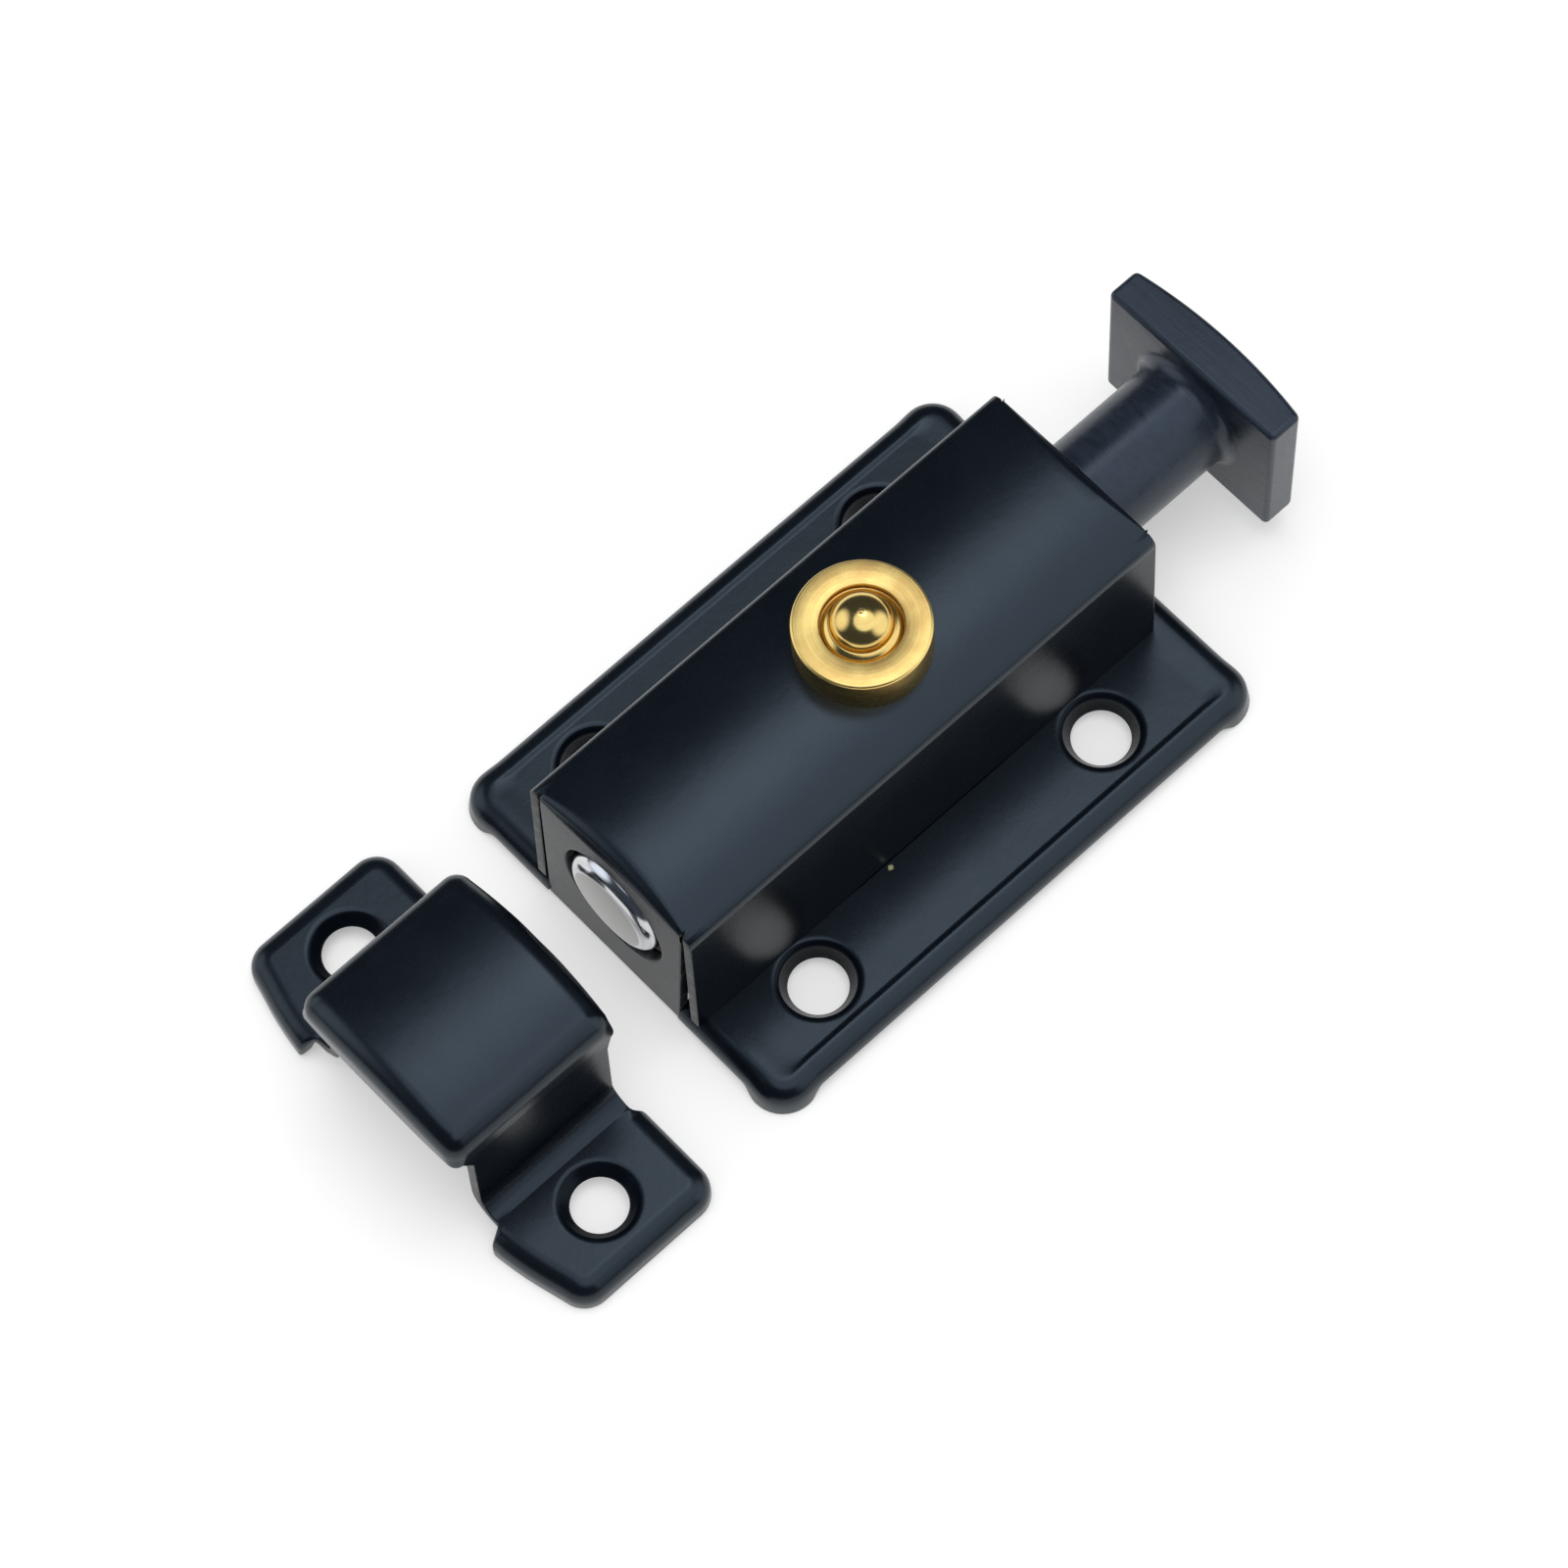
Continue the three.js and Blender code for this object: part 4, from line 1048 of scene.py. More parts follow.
@dataclass
class BasePlate:
    """Pressed base plate: rim turned down all round and left deeper at its four corners."""

    front: float
    rear: float
    half_width: float
    height: float
    sheet: float = 1.0
    bend: float = 1.4
    corner: float = 2.3
    ear: float = 2.4
    ear_ramp: float = 1.5
    ear_drop: float = 0.7
    ear_flare: float = 0.25
    setback: float = 0.9
    hole_spacing: Plan = (26.5, 22.0)
    notch: Plan = (-6.9, 5.97)
    notch_back: float = 1.6
    slot_spacing: float = 9.0
    slot_half: float = 1.92
    slot_sides: Plan = (7.13, 7.95)
    lift: float = 0.09
    rise: Plan = (1.9, 0.45)
    rise_shares: tuple[float, ...] = (0.25, 0.5, 0.75, 1.0, 1.1)
    notch_lead: float = 0.8
    ramp_steps: int = 5
    corner_steps: int = 10
    bend_steps: int = 8
    edge: float = 0.14
    dimple: Dimple = field(default_factory=lambda: Dimple(mouth=6.4, hole=4.2, depth=1.35))

    @property
    def hole_centre(self) -> float:
        """Place along the bolt of the middle of the four holes."""
        return (self.front + self.rear) / 2 + self.setback

    def plan(self, ends: float = 0.0, sides: float = 0.0, corner: float | None = None) -> list[Plan]:
        """Line round the plate, anticlockwise from one side of the front notch to the other.

        Args:
            ends: How far it runs inside the front and rear edges.
            sides: How far it runs inside the long edges.
            corner: Radius of its corners, if not the rim's own.

        Returns:
            Its points in plan.
        """
        breaks = [self.ear + self.ear_ramp * share for share in spread(0, 1, self.ramp_steps)]
        whole_length = (self.front - self.rear) / 2
        half_length, half_width = whole_length - ends, self.half_width - sides
        radius = self.corner if corner is None else corner
        centre = (half_length - radius, half_width - radius)
        quarter = [
            *[(half_length, min(self.half_width - d, centre[1])) for d in reversed(breaks)],
            *arc(centre, radius, 0, 90, self.corner_steps),
            *[(min(whole_length - d, centre[0]), half_width) for d in breaks],
        ]
        middle = (self.front + self.rear) / 2
        whole = []
        for sign_x, sign_y, step in ((1, 1, 1), (-1, 1, -1), (-1, -1, 1), (1, -1, -1)):
            whole += [(middle + sign_x * x, sign_y * y) for x, y in quarter[::step]]
        front, mouth = self.front - ends, self.front - min(ends, self.notch_back)
        near, far = self.notch
        leads = (front, far + self.notch_lead), (front, near - self.notch_lead)
        return [(mouth, far), leads[0], *whole, leads[1], (mouth, near)]

    def lifts(self, share: float = 1.0) -> list[float]:
        """How far the rim stands above the flat at each point of the plan."""
        count = len(self.plan())
        return [self.lift * share if 0 < i < count - 1 else 0.0 for i in range(count)]

    def ear_share(self, point: Plan) -> float:
        """1 on an ear, 0 between the ears.

        Args:
            point: A point in plan.

        Returns:
            Its share, which falls smoothly off an ear.
        """
        from_end = min(self.front - point[0], point[0] - self.rear)
        from_side = self.half_width - abs(point[1])
        return 1 - ease((max(from_end, from_side) - self.ear) / self.ear_ramp)

    def rim(self, angle: float | None, depth: float) -> list[Point]:
        """One line round the rim: at an angle of its bend, 90 being the top, or its foot.

        Args:
            angle: Angle of the bend, or None for the foot.
            depth: Depth into the sheet.

        Returns:
            The line's points. An ear's bend has a third of its flare.
        """
        plan = self.plan()
        bend = self.bend - depth
        if angle is None:
            line = inset(plan, lambda p: depth - self.ear_flare * self.ear_share(p))
            feet = [self.ear_drop * (1 - self.ear_share(p)) for p in plan]
            return [(x, y, z) for (x, y), z in zip(line, feet, strict=True)]
        turn = radians(angle)
        flare = self.ear_flare / 3 * cos(turn)
        in_by = depth + bend * (1 - cos(turn))
        line = inset(plan, lambda p: in_by - flare * self.ear_share(p))
        level = self.height - depth - bend * (1 - sin(turn))
        return [(x, y, level + up) for (x, y), up in zip(line, self.lifts(), strict=True)]

    def inner_line(self, share: float, depth: float) -> list[Point]:
        """Line a share of the way from the raised rim in to the flat, a little past it above 1.

        Args:
            share: Share of the way.
            depth: Depth into the sheet.

        Returns:
            The line's points.
        """
        ends, sides = (self.bend + width * share for width in self.rise)
        line = self.plan(ends, sides, self.corner - self.bend)
        ups = self.lifts(1 - ease(share))
        return [(x, y, self.height - depth + up) for (x, y), up in zip(line, ups, strict=True)]

    def build(self, finishes: Sequence[Material]) -> Piece:
        """Builds and dresses the plate.

        Args:
            finishes: Materials, in the order of the coats.

        Returns:
            The piece.
        """
        skin = SheetSkin(self.sheet)
        rows = [skin.row(partial(self.rim, angle)) for angle in (None, *spread(0, 90, self.bend_steps))]
        rows += [skin.row(partial(self.inner_line, share)) for share in self.rise_shares]
        skin.strips(rows)
        back = self.front - self.notch_back
        notch = skin.row(lambda depth: [(back, y, self.height - depth) for y in self.notch])
        holes = []
        for sign_x in (1, -1):
            for sign_y in (1, -1):
                centre = (
                    self.hole_centre + sign_x * self.hole_spacing[0] / 2,
                    sign_y * self.hole_spacing[1] / 2,
                )
                holes.append(self.dimple.press(skin, centre, self.height))
                holes.append(skin.row(partial(self.lug_slot, sign_x, sign_y)))
        skin.fill(rows[-1] + notch, holes)
        piece = skin.build("pressed_base_plate")
        ease_edges(piece, self.edge)
        return show(piece, Body.LATCH, Slot.BLACK_PAINT, ["base_plate"], *finishes)

    def lug_slot(self, sign_x: int, sign_y: int, depth: float) -> list[Point]:
        """Outline of one slot for a lug of the cover.

        Args:
            sign_x: 1 in front, -1 behind.
            sign_y: Side of the bolt.
            depth: Depth into the sheet.

        Returns:
            The outline's points.
        """
        middle = self.hole_centre + sign_x * self.slot_spacing / 2
        half, (near, far) = self.slot_half, self.slot_sides
        outline = [(-half, near), (half, near), (half, far), (-half, far)]
        return [(middle + x, sign_y * y, self.height - depth) for x, y in outline]


@dataclass
class Cover:
    """Folded cover: splayed walls, cambered top, and an end tab rolled down at each end."""

    front: float
    rear: float
    half: float
    crown: float
    floor: float
    button_x: float
    bore_z: float
    sheet: float = 0.8
    camber: float = 1.1
    shoulder: float = 0.75
    inner_shoulder: float = 0.1
    shoulder_steps: int = 6
    splay: float = 0.2
    lean: float = 0.35
    front_roll: float = 1.25
    rear_roll: float = 0.95
    roll_steps: int = 7
    slit_top: float = 6.88
    slit_foot: Plan = (-6.98, 6.05)
    rear_slit_foot: float = 6.16
    tab_foot: float = 0.5
    bore: float = 4.7
    bore_rim: float = 0.25
    bore_steps: int = 72
    across_steps: int = 14
    end_rows: Plan = (1.6, 2.2)
    clear_rows: float = 5.0
    patch_room: float = 2.0
    collar_hole: float = 3.77
    patch: float = 4.4
    patch_steps: int = 9
    patch_shares: tuple[float, ...] = (0.4, 0.75, 1.0)
    lug_spacing: float = 9.0
    lug_length: float = 3.6
    lug_reach: float = 2.6
    lug_thickness: float = 0.7
    lug_drop: float = 1.12
    lug_set_in: float = 0.12
    margin: float = 0.12
    play: float = 0.01
    tightest: float = 0.06
    edge: float = 0.1
    lug_edge: float = 0.12

    def half_at(self, z: float) -> float:
        """Half width over the walls at a height."""
        top = self.crown - self.camber
        return self.half + self.splay * (top - z) / (top - self.floor)

    def crown_at(self, y: float, depth: float) -> float:
        """Height of the top across the bolt."""
        radius = (self.half**2 + self.camber**2) / (2 * self.camber)
        return self.crown - radius + sqrt((radius - depth) ** 2 - y**2)

    def half_section(self, depth: float) -> list[Plan]:
        """Section of one side as (y, z), from the wall's foot to the slit and on to the middle.

        Args:
            depth: Depth into the sheet.

        Returns:
            The section's points.
        """
        half = self.half - depth
        bend = max(self.shoulder - depth, self.inner_shoulder)
        edge = self.crown_at(half, depth)
        wall = [(self.half_at(self.floor) - depth, self.floor), (half, edge - bend)]
        corner, last = (half, edge), (half - bend, self.crown_at(half - bend, depth))
        turn = []
        for t in spread(0, 1, self.shoulder_steps)[1:]:
            ab = (blend(wall[1][0], corner[0], t), blend(wall[1][1], corner[1], t))
            bc = (blend(corner[0], last[0], t), blend(corner[1], last[1], t))
            turn.append((blend(ab[0], bc[0], t), blend(ab[1], bc[1], t)))
        across = [(y, self.crown_at(y, depth)) for y in spread(self.slit_top, 0, self.across_steps)]
        return wall + turn + across

    def section(self, depth: float) -> list[Plan]:
        """Whole section, from one wall's foot over the top to the other's."""
        side = self.half_section(depth)
        return side + [(-y, z) for y, z in side[-2::-1]]

    def across_tab(self) -> list[float]:
        """Sides of the section's points that run on into the end tabs."""
        return [y for y, _ in self.section(0.0) if self.in_tab(y)]

    def in_tab(self, y: float) -> bool:
        """Whether a line along the top runs on into the end tabs."""
        return abs(y) <= self.slit_top + self.play

    def upright_from(self, end: End) -> float:
        """Height below which an end tab is flat."""
        return self.crown - (self.front_roll if end is End.FRONT else self.rear_roll)

    def end_x(self, z: float, end: End) -> float:
        """Place of the cover's flat front or rear at a height.

        Args:
            z: The height.
            end: Which end.

        Returns:
            The place.
        """
        if end is End.REAR:
            return self.rear
        upright = self.upright_from(end)
        return self.front - self.lean * min((z - self.tab_foot) / (upright - self.tab_foot), 1.0)

    def roll_point(self, y: float, depth: float, share: float, end: End) -> Point:
        """Point of an end roll, whose radius takes up the camber, a share of the way down it.

        Args:
            y: Distance from the middle.
            depth: Depth into the sheet.
            share: Share of the roll.
            end: Which end.

        Returns:
            The point.
        """
        upright = self.upright_from(end)
        radius = max(self.crown_at(y, 0.0) - upright - depth, self.tightest)
        turn = radians(90 * (1 - share))
        inward = depth + radius * (1 - cos(turn))
        x = self.end_x(upright, end) - end.value * inward
        return (x, y, self.crown_at(y, depth) - radius * (1 - sin(turn)))

    def line_across(self, station: float | End, depth: float) -> list[Point]:
        """Points of the section at a place along the bolt, or where the top ends.

        Args:
            station: The place, or the end.
            depth: Depth into the sheet.

        Returns:
            The points.
        """
        if not isinstance(station, End):
            return [(station, y, z) for y, z in self.section(depth)]
        return [
            self.roll_point(y, depth, 0.0, station) if self.in_tab(y) else (self.end_x(z, station), y, z)
            for y, z in self.section(depth)
        ]

    def roll(self, share: float, end: End, depth: float) -> list[Point]:
        """Line across a tab's roll, a share of the way from the top down to the flat."""
        return [self.roll_point(y, depth, share, end) for y in self.across_tab()]

    def tab(self, skin: SheetSkin, edge: list[int], end: End) -> None:
        """Adds an end tab below the line where the top ends.

        Args:
            skin: The sheet.
            edge: Points of that line.
            end: Which end.
        """
        rows = [edge]
        rows += [skin.row(partial(self.roll, share, end)) for share in spread(0, 1, self.roll_steps)[1:]]
        skin.strips(rows)
        at_front = end is End.FRONT
        foot_z = self.tab_foot if at_front else self.floor
        sides = self.slit_foot if at_front else (-self.rear_slit_foot, self.rear_slit_foot)

        def flat(line: Sequence[Plan]) -> list[int]:
            """Adds a row of points on the tab's flat face."""
            return skin.row(lambda depth: [(self.end_x(z, end) - end.value * depth, y, z) for y, z in line])

        start = len(skin.faces)
        edge_z = self.upright_from(end) - self.margin
        rows.append(flat([(y, edge_z) for y in self.across_tab()]))
        skin.strip(rows[-2], rows[-1])
        foot = flat([(y, foot_z) for y in sides])
        last = 360 - 360 / self.bore_steps
        mouth, rim = (
            flat(arc((0.0, self.bore_z), radius, 0, last, self.bore_steps - 1))
            for radius in (self.bore, self.bore + self.bore_rim)
        )
        skin.strip(mouth, rim, closed=True)
        skin.fill(rows[-1] + foot, [rim])
        skin.dull.update(skin.faces[start:])

    def patch_rows(self) -> list[float]:
        """Places along the bolt of the rows beside the collar."""
        return spread(self.button_x - self.patch, self.button_x + self.patch, self.patch_steps)

    def collar_patch(self, skin: SheetSkin, block: list[list[int]]) -> None:
        """Fills a block of the top with a round hole in it for the collar's spigot.

        Args:
            skin: The sheet.
            block: The block's rows of points.
        """
        out, back = [row[-1] for row in block[1:-1]], [row[0] for row in block[-2:0:-1]]
        loop = [*block[0], *out, *block[-1][::-1], *back]
        border = [Vector((skin.outer[n][0] - self.button_x, skin.outer[n][1])) for n in loop]
        rings = [loop]
        for share in self.patch_shares:
            ring = [away * blend(1.0, self.collar_hole / away.length, share) for away in border]
            rings.append(skin.row(lambda depth, ring=ring: [
                (self.button_x + away.x, away.y, self.crown_at(away.y, depth)) for away in ring
            ]))
        skin.strips(rings, closed=True)

    def lug(self, middle: float, side: int) -> list[Point]:
        """Outline of a lug clinched under the plate.

        Args:
            middle: Middle of the lug along the bolt.
            side: Side of the bolt, 1 or -1.

        Returns:
            Its corners.
        """
        outer = self.half_at(self.floor) - self.lug_set_in
        inner = self.half_at(self.floor) - self.sheet
        under = self.floor - self.lug_drop
        foot = under - self.lug_thickness
        turn = arc((outer - self.lug_thickness, under), self.lug_thickness, -90, 0, 4)
        outline = [
            (outer, self.floor + self.sheet), (inner, self.floor + self.sheet), (inner, under),
            (outer - self.lug_reach, under), (outer - self.lug_reach, foot), *turn,
        ]
        return [(middle - self.lug_length / 2, side * y, z) for y, z in outline]

    def build(self, hole_centre: float, finishes: Sequence[Material]) -> list[Piece]:
        """Builds and dresses the cover and its clinched lugs.

        Args:
            hole_centre: Middle of the four lugs along the bolt.
            finishes: Materials, in the order of the coats.

        Returns:
            The pieces.
        """
        skin = SheetSkin(self.sheet)
        beside = self.patch_rows()
        clear, room = self.clear_rows, self.patch_room
        stations: list[float | End] = [
            End.REAR, self.rear + self.end_rows[0], *spread(self.rear + clear, beside[0] - room, 3), *beside,
            *spread(beside[-1] + room, self.front - clear, 4), self.front - self.end_rows[1], End.FRONT,
        ]
        rows = [skin.row(partial(self.line_across, station)) for station in stations]
        columns = [y for y, _ in self.section(0.0)]
        block = [i for i, y in enumerate(columns) if abs(y) <= self.patch + self.margin]
        low, high = block[0], block[-1]
        for first, second, here in zip(rows, rows[1:], stations):
            if here in beside[:-1]:
                skin.strip(first[: low + 1], second[: low + 1])
                skin.strip(first[high:], second[high:])
            else:
                skin.strip(first, second)
        self.collar_patch(skin, [rows[stations.index(x)][low : high + 1] for x in beside])
        for row, end in ((rows[-1], End.FRONT), (rows[0], End.REAR)):
            self.tab(skin, [row[i] for i, y in enumerate(columns) if self.in_tab(y)], end)
        wall = self.half - self.play
        skin.dull.update(face for face in skin.faces if all(abs(skin.outer[n][1]) > wall for n in face))
        cover = skin.build("folded_cover")
        ease_edges(cover, self.edge)
        lugs = Solid()
        for sign in (1, -1):
            for side in (1, -1):
                outline = self.lug(hole_centre + sign * self.lug_spacing / 2, side)
                lugs.extrude(outline, (self.lug_length, 0, 0))
        clinched = lugs.build("clinched_lugs")
        ease_edges(clinched, self.lug_edge)
        return [
            show(cover, Body.LATCH, Slot.BLACK_PAINT, ["housing"], *finishes),
            show(clinched, Body.LATCH, Slot.BLACK_PAINT, ["housing"], finishes[0]),
        ]


@dataclass
class Keeper:
    """Drawn keeper strap: a cambered bridge over the bolt on two legs, each with a pressed foot."""

    near: float
    far: float
    crown: float
    half_length: float
    hole_x: float
    axis_z: float
    hole_y: float = 12.5
    bow: float = 2.3
    bow_power: float = 3.5
    sheet: float = 0.9
    foot_height: float = 2.3
    foot_bend: float = 1.45
    support: float = 0.1
    foot_corner: float = 2.0
    foot_corner_from: float = 8.0
    foot_shoulder: float = 0.75
    half: float = 7.75
    camber: float = 0.95
    bulge: float = 0.4
    roll: float = 1.6
    shoulder: float = 1.5
    wall_corner: float = 1.3
    inner_corner: float = 0.1
    flange_foot: float = 11.8
    flange_corners: Plan = (0.45, 0.7)
    waists: Plan = (0.8, 1.4)
    lean: float = 0.2
    leg_bend: float = 1.5
    arch: float = 4.4
    along_edge: int = 12
    steps: int = 8
    flange_steps: int = 3
    waist_drops: tuple[float, ...] = (0.17, 0.35, 0.53, 0.7)
    leg_ends: Plan = (1.4, 0.4)
    leg_steps: int = 5
    bend_steps: int = 6
    foot_side_steps: int = 6
    shoulder_steps: int = 4
    least_share: float = 0.01
    tightest: float = 0.06
    edge: float = 0.12
    dimple: Dimple = field(default_factory=lambda: Dimple(mouth=6.1, hole=4.0, depth=1.0))

    def near_at(self, y: float) -> float:
        """Near edge at a distance from the middle."""
        return self.near - self.bulge * (1 - min(abs(y) / self.half, 1.0) ** 2)

    def far_at(self, y: float) -> float:
        """Far edge at a distance from the middle."""
        return self.far - self.bow * (abs(y) / self.half_length) ** self.bow_power

    def top_at(self, y: float) -> float:
        """Height of the bridge's top."""
        return self.crown - self.camber * (y / self.half) ** 2

    def foot_at(self, x: float, y: float) -> float:
        """Height of the flanges' lower edge, which arches over the bolt on the near side.

        Args:
            x: Place along the bolt.
            y: Distance from the middle.

        Returns:
            The height.
        """
        if x > (self.near + self.far) / 2 or abs(y) >= self.arch:
            return self.flange_foot
        return max(self.flange_foot, self.axis_z + sqrt(self.arch**2 - y * y))

    def half_ring(self, set_in: float, half: float, corners: Plan) -> list[Plan]:
        """Plan line from the middle of the near side round the leg to the middle of the far side.

        Args:
            set_in: How far inside the near and far edges.
            half: Half length of the ring.
            corners: Radius of its near and far corner.

        Returns:
            Its points.
        """
        near_edge = [(self.near_at(y) + set_in, y) for y in spread(0, half - corners[0], self.along_edge)]
        far_edge = [(self.far_at(y) - set_in, y) for y in spread(half - corners[1], 0, self.along_edge)]
        turn_in = (near_edge[-1][0] + corners[0], near_edge[-1][1])
        turn_out = (far_edge[0][0] - corners[1], far_edge[0][1])
        near_turn = arc(turn_in, corners[0], 180, 90, self.steps)
        far_turn = arc(turn_out, corners[1], 90, 0, self.steps)
        leg = [(x, half) for x in spread(near_turn[-1][0], far_turn[0][0], self.steps)]
        return near_edge + near_turn[1:] + leg[1:-1] + far_turn + far_edge[1:]

    def leg_part(self, ring: list[int]) -> list[int]:
        """The stretch of a ring that runs down into the leg."""
        start = self.along_edge + self.steps
        return ring[start : start + self.steps + 1]

    def shell(self, roll_share: float, wall_share: float, depth: float) -> list[Point]:
        """One ring of the bridge, by its share down the roll and then down the flange.

        Args:
            roll_share: Share of the roll.
            wall_share: Share of the flange.
            depth: Depth into the sheet.

        Returns:
            The ring's points.
        """
        corners = [blend(self.wall_corner, c, wall_share) for c in self.flange_corners]
        top = self.half_ring(self.roll, self.half - self.shoulder, (0.0, 0.0))
        outer = self.half_ring(0.0, self.half, corners)
        head = self.half_ring(0.0, self.half, (self.wall_corner, self.wall_corner))
        within = [max(c - depth, self.inner_corner) for c in corners]
        wall = self.half_ring(depth, self.half - depth, within)
        radius = self.roll - depth
        points = []
        for over, down, start, (x, y) in zip(top, outer, head, wall, strict=True):
            turn_z = self.top_at(over[1]) - self.roll
            if wall_share and self.foot_at(*start) < turn_z:
                points.append((x, y, blend(turn_z, self.foot_at(*down), wall_share)))
                continue
            lowest = asin(min(max((self.foot_at(*start) - turn_z) / radius, 0.0), 1.0))
            angle = blend(pi / 2, lowest, roll_share)
            reach = radius / self.roll * cos(angle)
            plan = [blend(o, s, reach) for o, s in zip(over, start, strict=True)]
            points.append((*plan, turn_z + radius * sin(angle)))
        return points

    def leg_row(self, z: float, depth: float) -> list[Point]:
        """Points across a leg at a height.

        Args:
            z: The height.
            depth: Depth into the sheet.

        Returns:
            The points.
        """
        narrowed = ease((self.flange_foot - z) / self.leg_bend)
        near = self.near + blend(self.flange_corners[0], self.waists[0], narrowed)
        far = self.far_at(self.half) - blend(self.flange_corners[1], self.waists[1], narrowed)
        foot = self.foot_height + self.leg_bend
        lean = self.lean * (self.flange_foot - z) / (self.flange_foot - foot)
        return [(x, self.half - lean - depth, z) for x in spread(near, far, self.steps)]

    def leg_sides(self) -> Plan:
        """Places along the bolt of a leg's near and far side, below its waist."""
        return (self.near + self.waists[0], self.far_at(self.half) - self.waists[1])

    def bend_row(self, angle: float, depth: float) -> list[Point]:
        """Points across a leg in its bend into the foot, 0 being upright and 90 flat.

        Args:
            angle: Angle of the bend.
            depth: Depth into the sheet.

        Returns:
            The points.
        """
        turn = radians(angle)
        radius = self.leg_bend + depth
        y = self.half - self.lean + self.leg_bend - radius * cos(turn)
        z = self.foot_height + self.leg_bend - radius * sin(turn)
        return [(x, y, z) for x in spread(*self.leg_sides(), self.steps)]

    def foot_rim(self) -> list[tuple[Plan, Plan, float]]:
        """Stations round a foot: edge of its flat, outward reach of its rim, and the rim's share.

        Returns:
            The stations, from the leg's far side round to its near side.
        """
        start, bend = self.half - self.lean + self.leg_bend, self.foot_bend
        full = start + self.foot_shoulder
        near_leg, far_leg = self.leg_sides()
        near_flat = self.near + bend
        far_flat = self.far_at(full) - bend
        shares = spread(0, 1, self.shoulder_steps)[:-1]
        falling, rising = (
            [
                ((blend(leg, flat, s), blend(start, full, s)), (out * bend * ease(s), 0.0), ease(s))
                for s in shares[::out]
            ]
            for leg, flat, out in ((near_leg, near_flat, -1), (far_leg, far_flat, 1))
        )
        corner, steps = self.foot_corner, self.steps
        end = self.half_length - corner
        line = [
            *[(self.far_at(y), y) for y in spread(full, end, self.foot_side_steps)[:-1]],
            *arc((self.far_at(end) - corner, end), corner, self.foot_corner_from, 90, steps),
            *arc((self.near + corner, end), corner, 90, 180, steps),
            (self.near, full),
        ]
        flat = inset(line, lambda p: bend)
        level = [
            (f, (p[0] - f[0], p[1] - f[1]), 1.0)
            for f, p in zip(flat, line, strict=True)
        ]
        return rising + level + falling

    def rim_row(self, angle: float | None, depth: float) -> list[Point]:
        """One line round a foot's rim: at an angle of its bend, 90 being the flat, or its foot.

        Args:
            angle: Angle of the bend, or None for the foot.
            depth: Depth into the sheet.

        Returns:
            The line's points.
        """
        turn = radians(angle or 0.0)
        points = []
        for (x, y), (out_x, out_y), share in self.foot_rim():
            bend = self.foot_bend * share
            radius = max(bend - depth, self.tightest if depth else 0.0)
            reach = radius / self.foot_bend * cos(turn) / max(share, self.least_share)
            level = self.foot_height - max(bend, depth) + radius * sin(turn)
            if angle is None:
                level = min(level, self.foot_height * (1 - share))
            points.append((x + out_x * reach, y + out_y * reach, level))
        return points

    def foot_flat(self, border: Sequence[Plan], depth: float) -> list[Point]:
        """Line just inside the border of a foot's flat."""
        line = inset([border[-1], *border, border[0]], lambda p: self.support)[1:-1]
        return [(x, y, self.foot_height - depth) for x, y in line]

    def build(self, finishes: Sequence[Material]) -> Piece:
        """Builds and dresses the keeper.

        Args:
            finishes: Materials, in the order of the coats.

        Returns:
            The piece.
        """
        skin = SheetSkin(self.sheet)
        rings = [skin.row(partial(self.shell, share, 0.0)) for share in spread(0, 1, self.steps)]
        rings += [skin.row(partial(self.shell, 1.0, share)) for share in spread(0, 1, self.flange_steps)[1:]]
        skin.strips(rings)
        self.lay_top(skin)
        high = self.flange_foot - self.leg_ends[0]
        low = self.foot_height + self.leg_bend + self.leg_ends[1]
        heights = [self.flange_foot - drop for drop in self.waist_drops] + spread(high, low, self.leg_steps)
        leg = [self.leg_part(rings[-1]), *[skin.row(partial(self.leg_row, z)) for z in heights]]
        upright = len(leg)
        leg += [skin.row(partial(self.bend_row, angle)) for angle in spread(0, 90, self.bend_steps)]
        for i, (first, second) in enumerate(pairwise(leg)):
            skin.strip(first, second, dull=i < upright)
        rims = [skin.row(partial(self.rim_row, angle)) for angle in (None, *spread(0, 90, self.steps))]
        skin.strips(rims)
        dimple = self.dimple.press(skin, (self.hole_x, self.hole_y), self.foot_height)
        border = leg[-1] + rims[-1][1:-1]
        flat = skin.row(partial(self.foot_flat, [skin.outer[number][:2] for number in border]))
        skin.strip(border, flat, closed=True)
        skin.fill(flat, [dimple])
        skin.mirror_across()
        piece = skin.build("drawn_keeper")
        ease_edges(piece, self.edge)
        return show(piece, Body.LATCH, Slot.BLACK_PAINT, ["keeper"], *finishes)

    def lay_top(self, skin: SheetSkin) -> None:
        """Adds the bridge's top between the edges of its rolls.

        Args:
            skin: The sheet.
        """
        across = spread(0, self.half - self.shoulder, self.along_edge)
        edges = [(self.near_at(y) + self.roll, self.far_at(y) - self.roll, y) for y in across]
        skin.strips([
            skin.row(lambda depth, share=share: [
                (blend(near, far, share), y, self.top_at(y) - depth) for near, far, y in edges
            ])
            for share in spread(0, 1, self.steps)
        ])


# --- Bolt, knob and springs ---


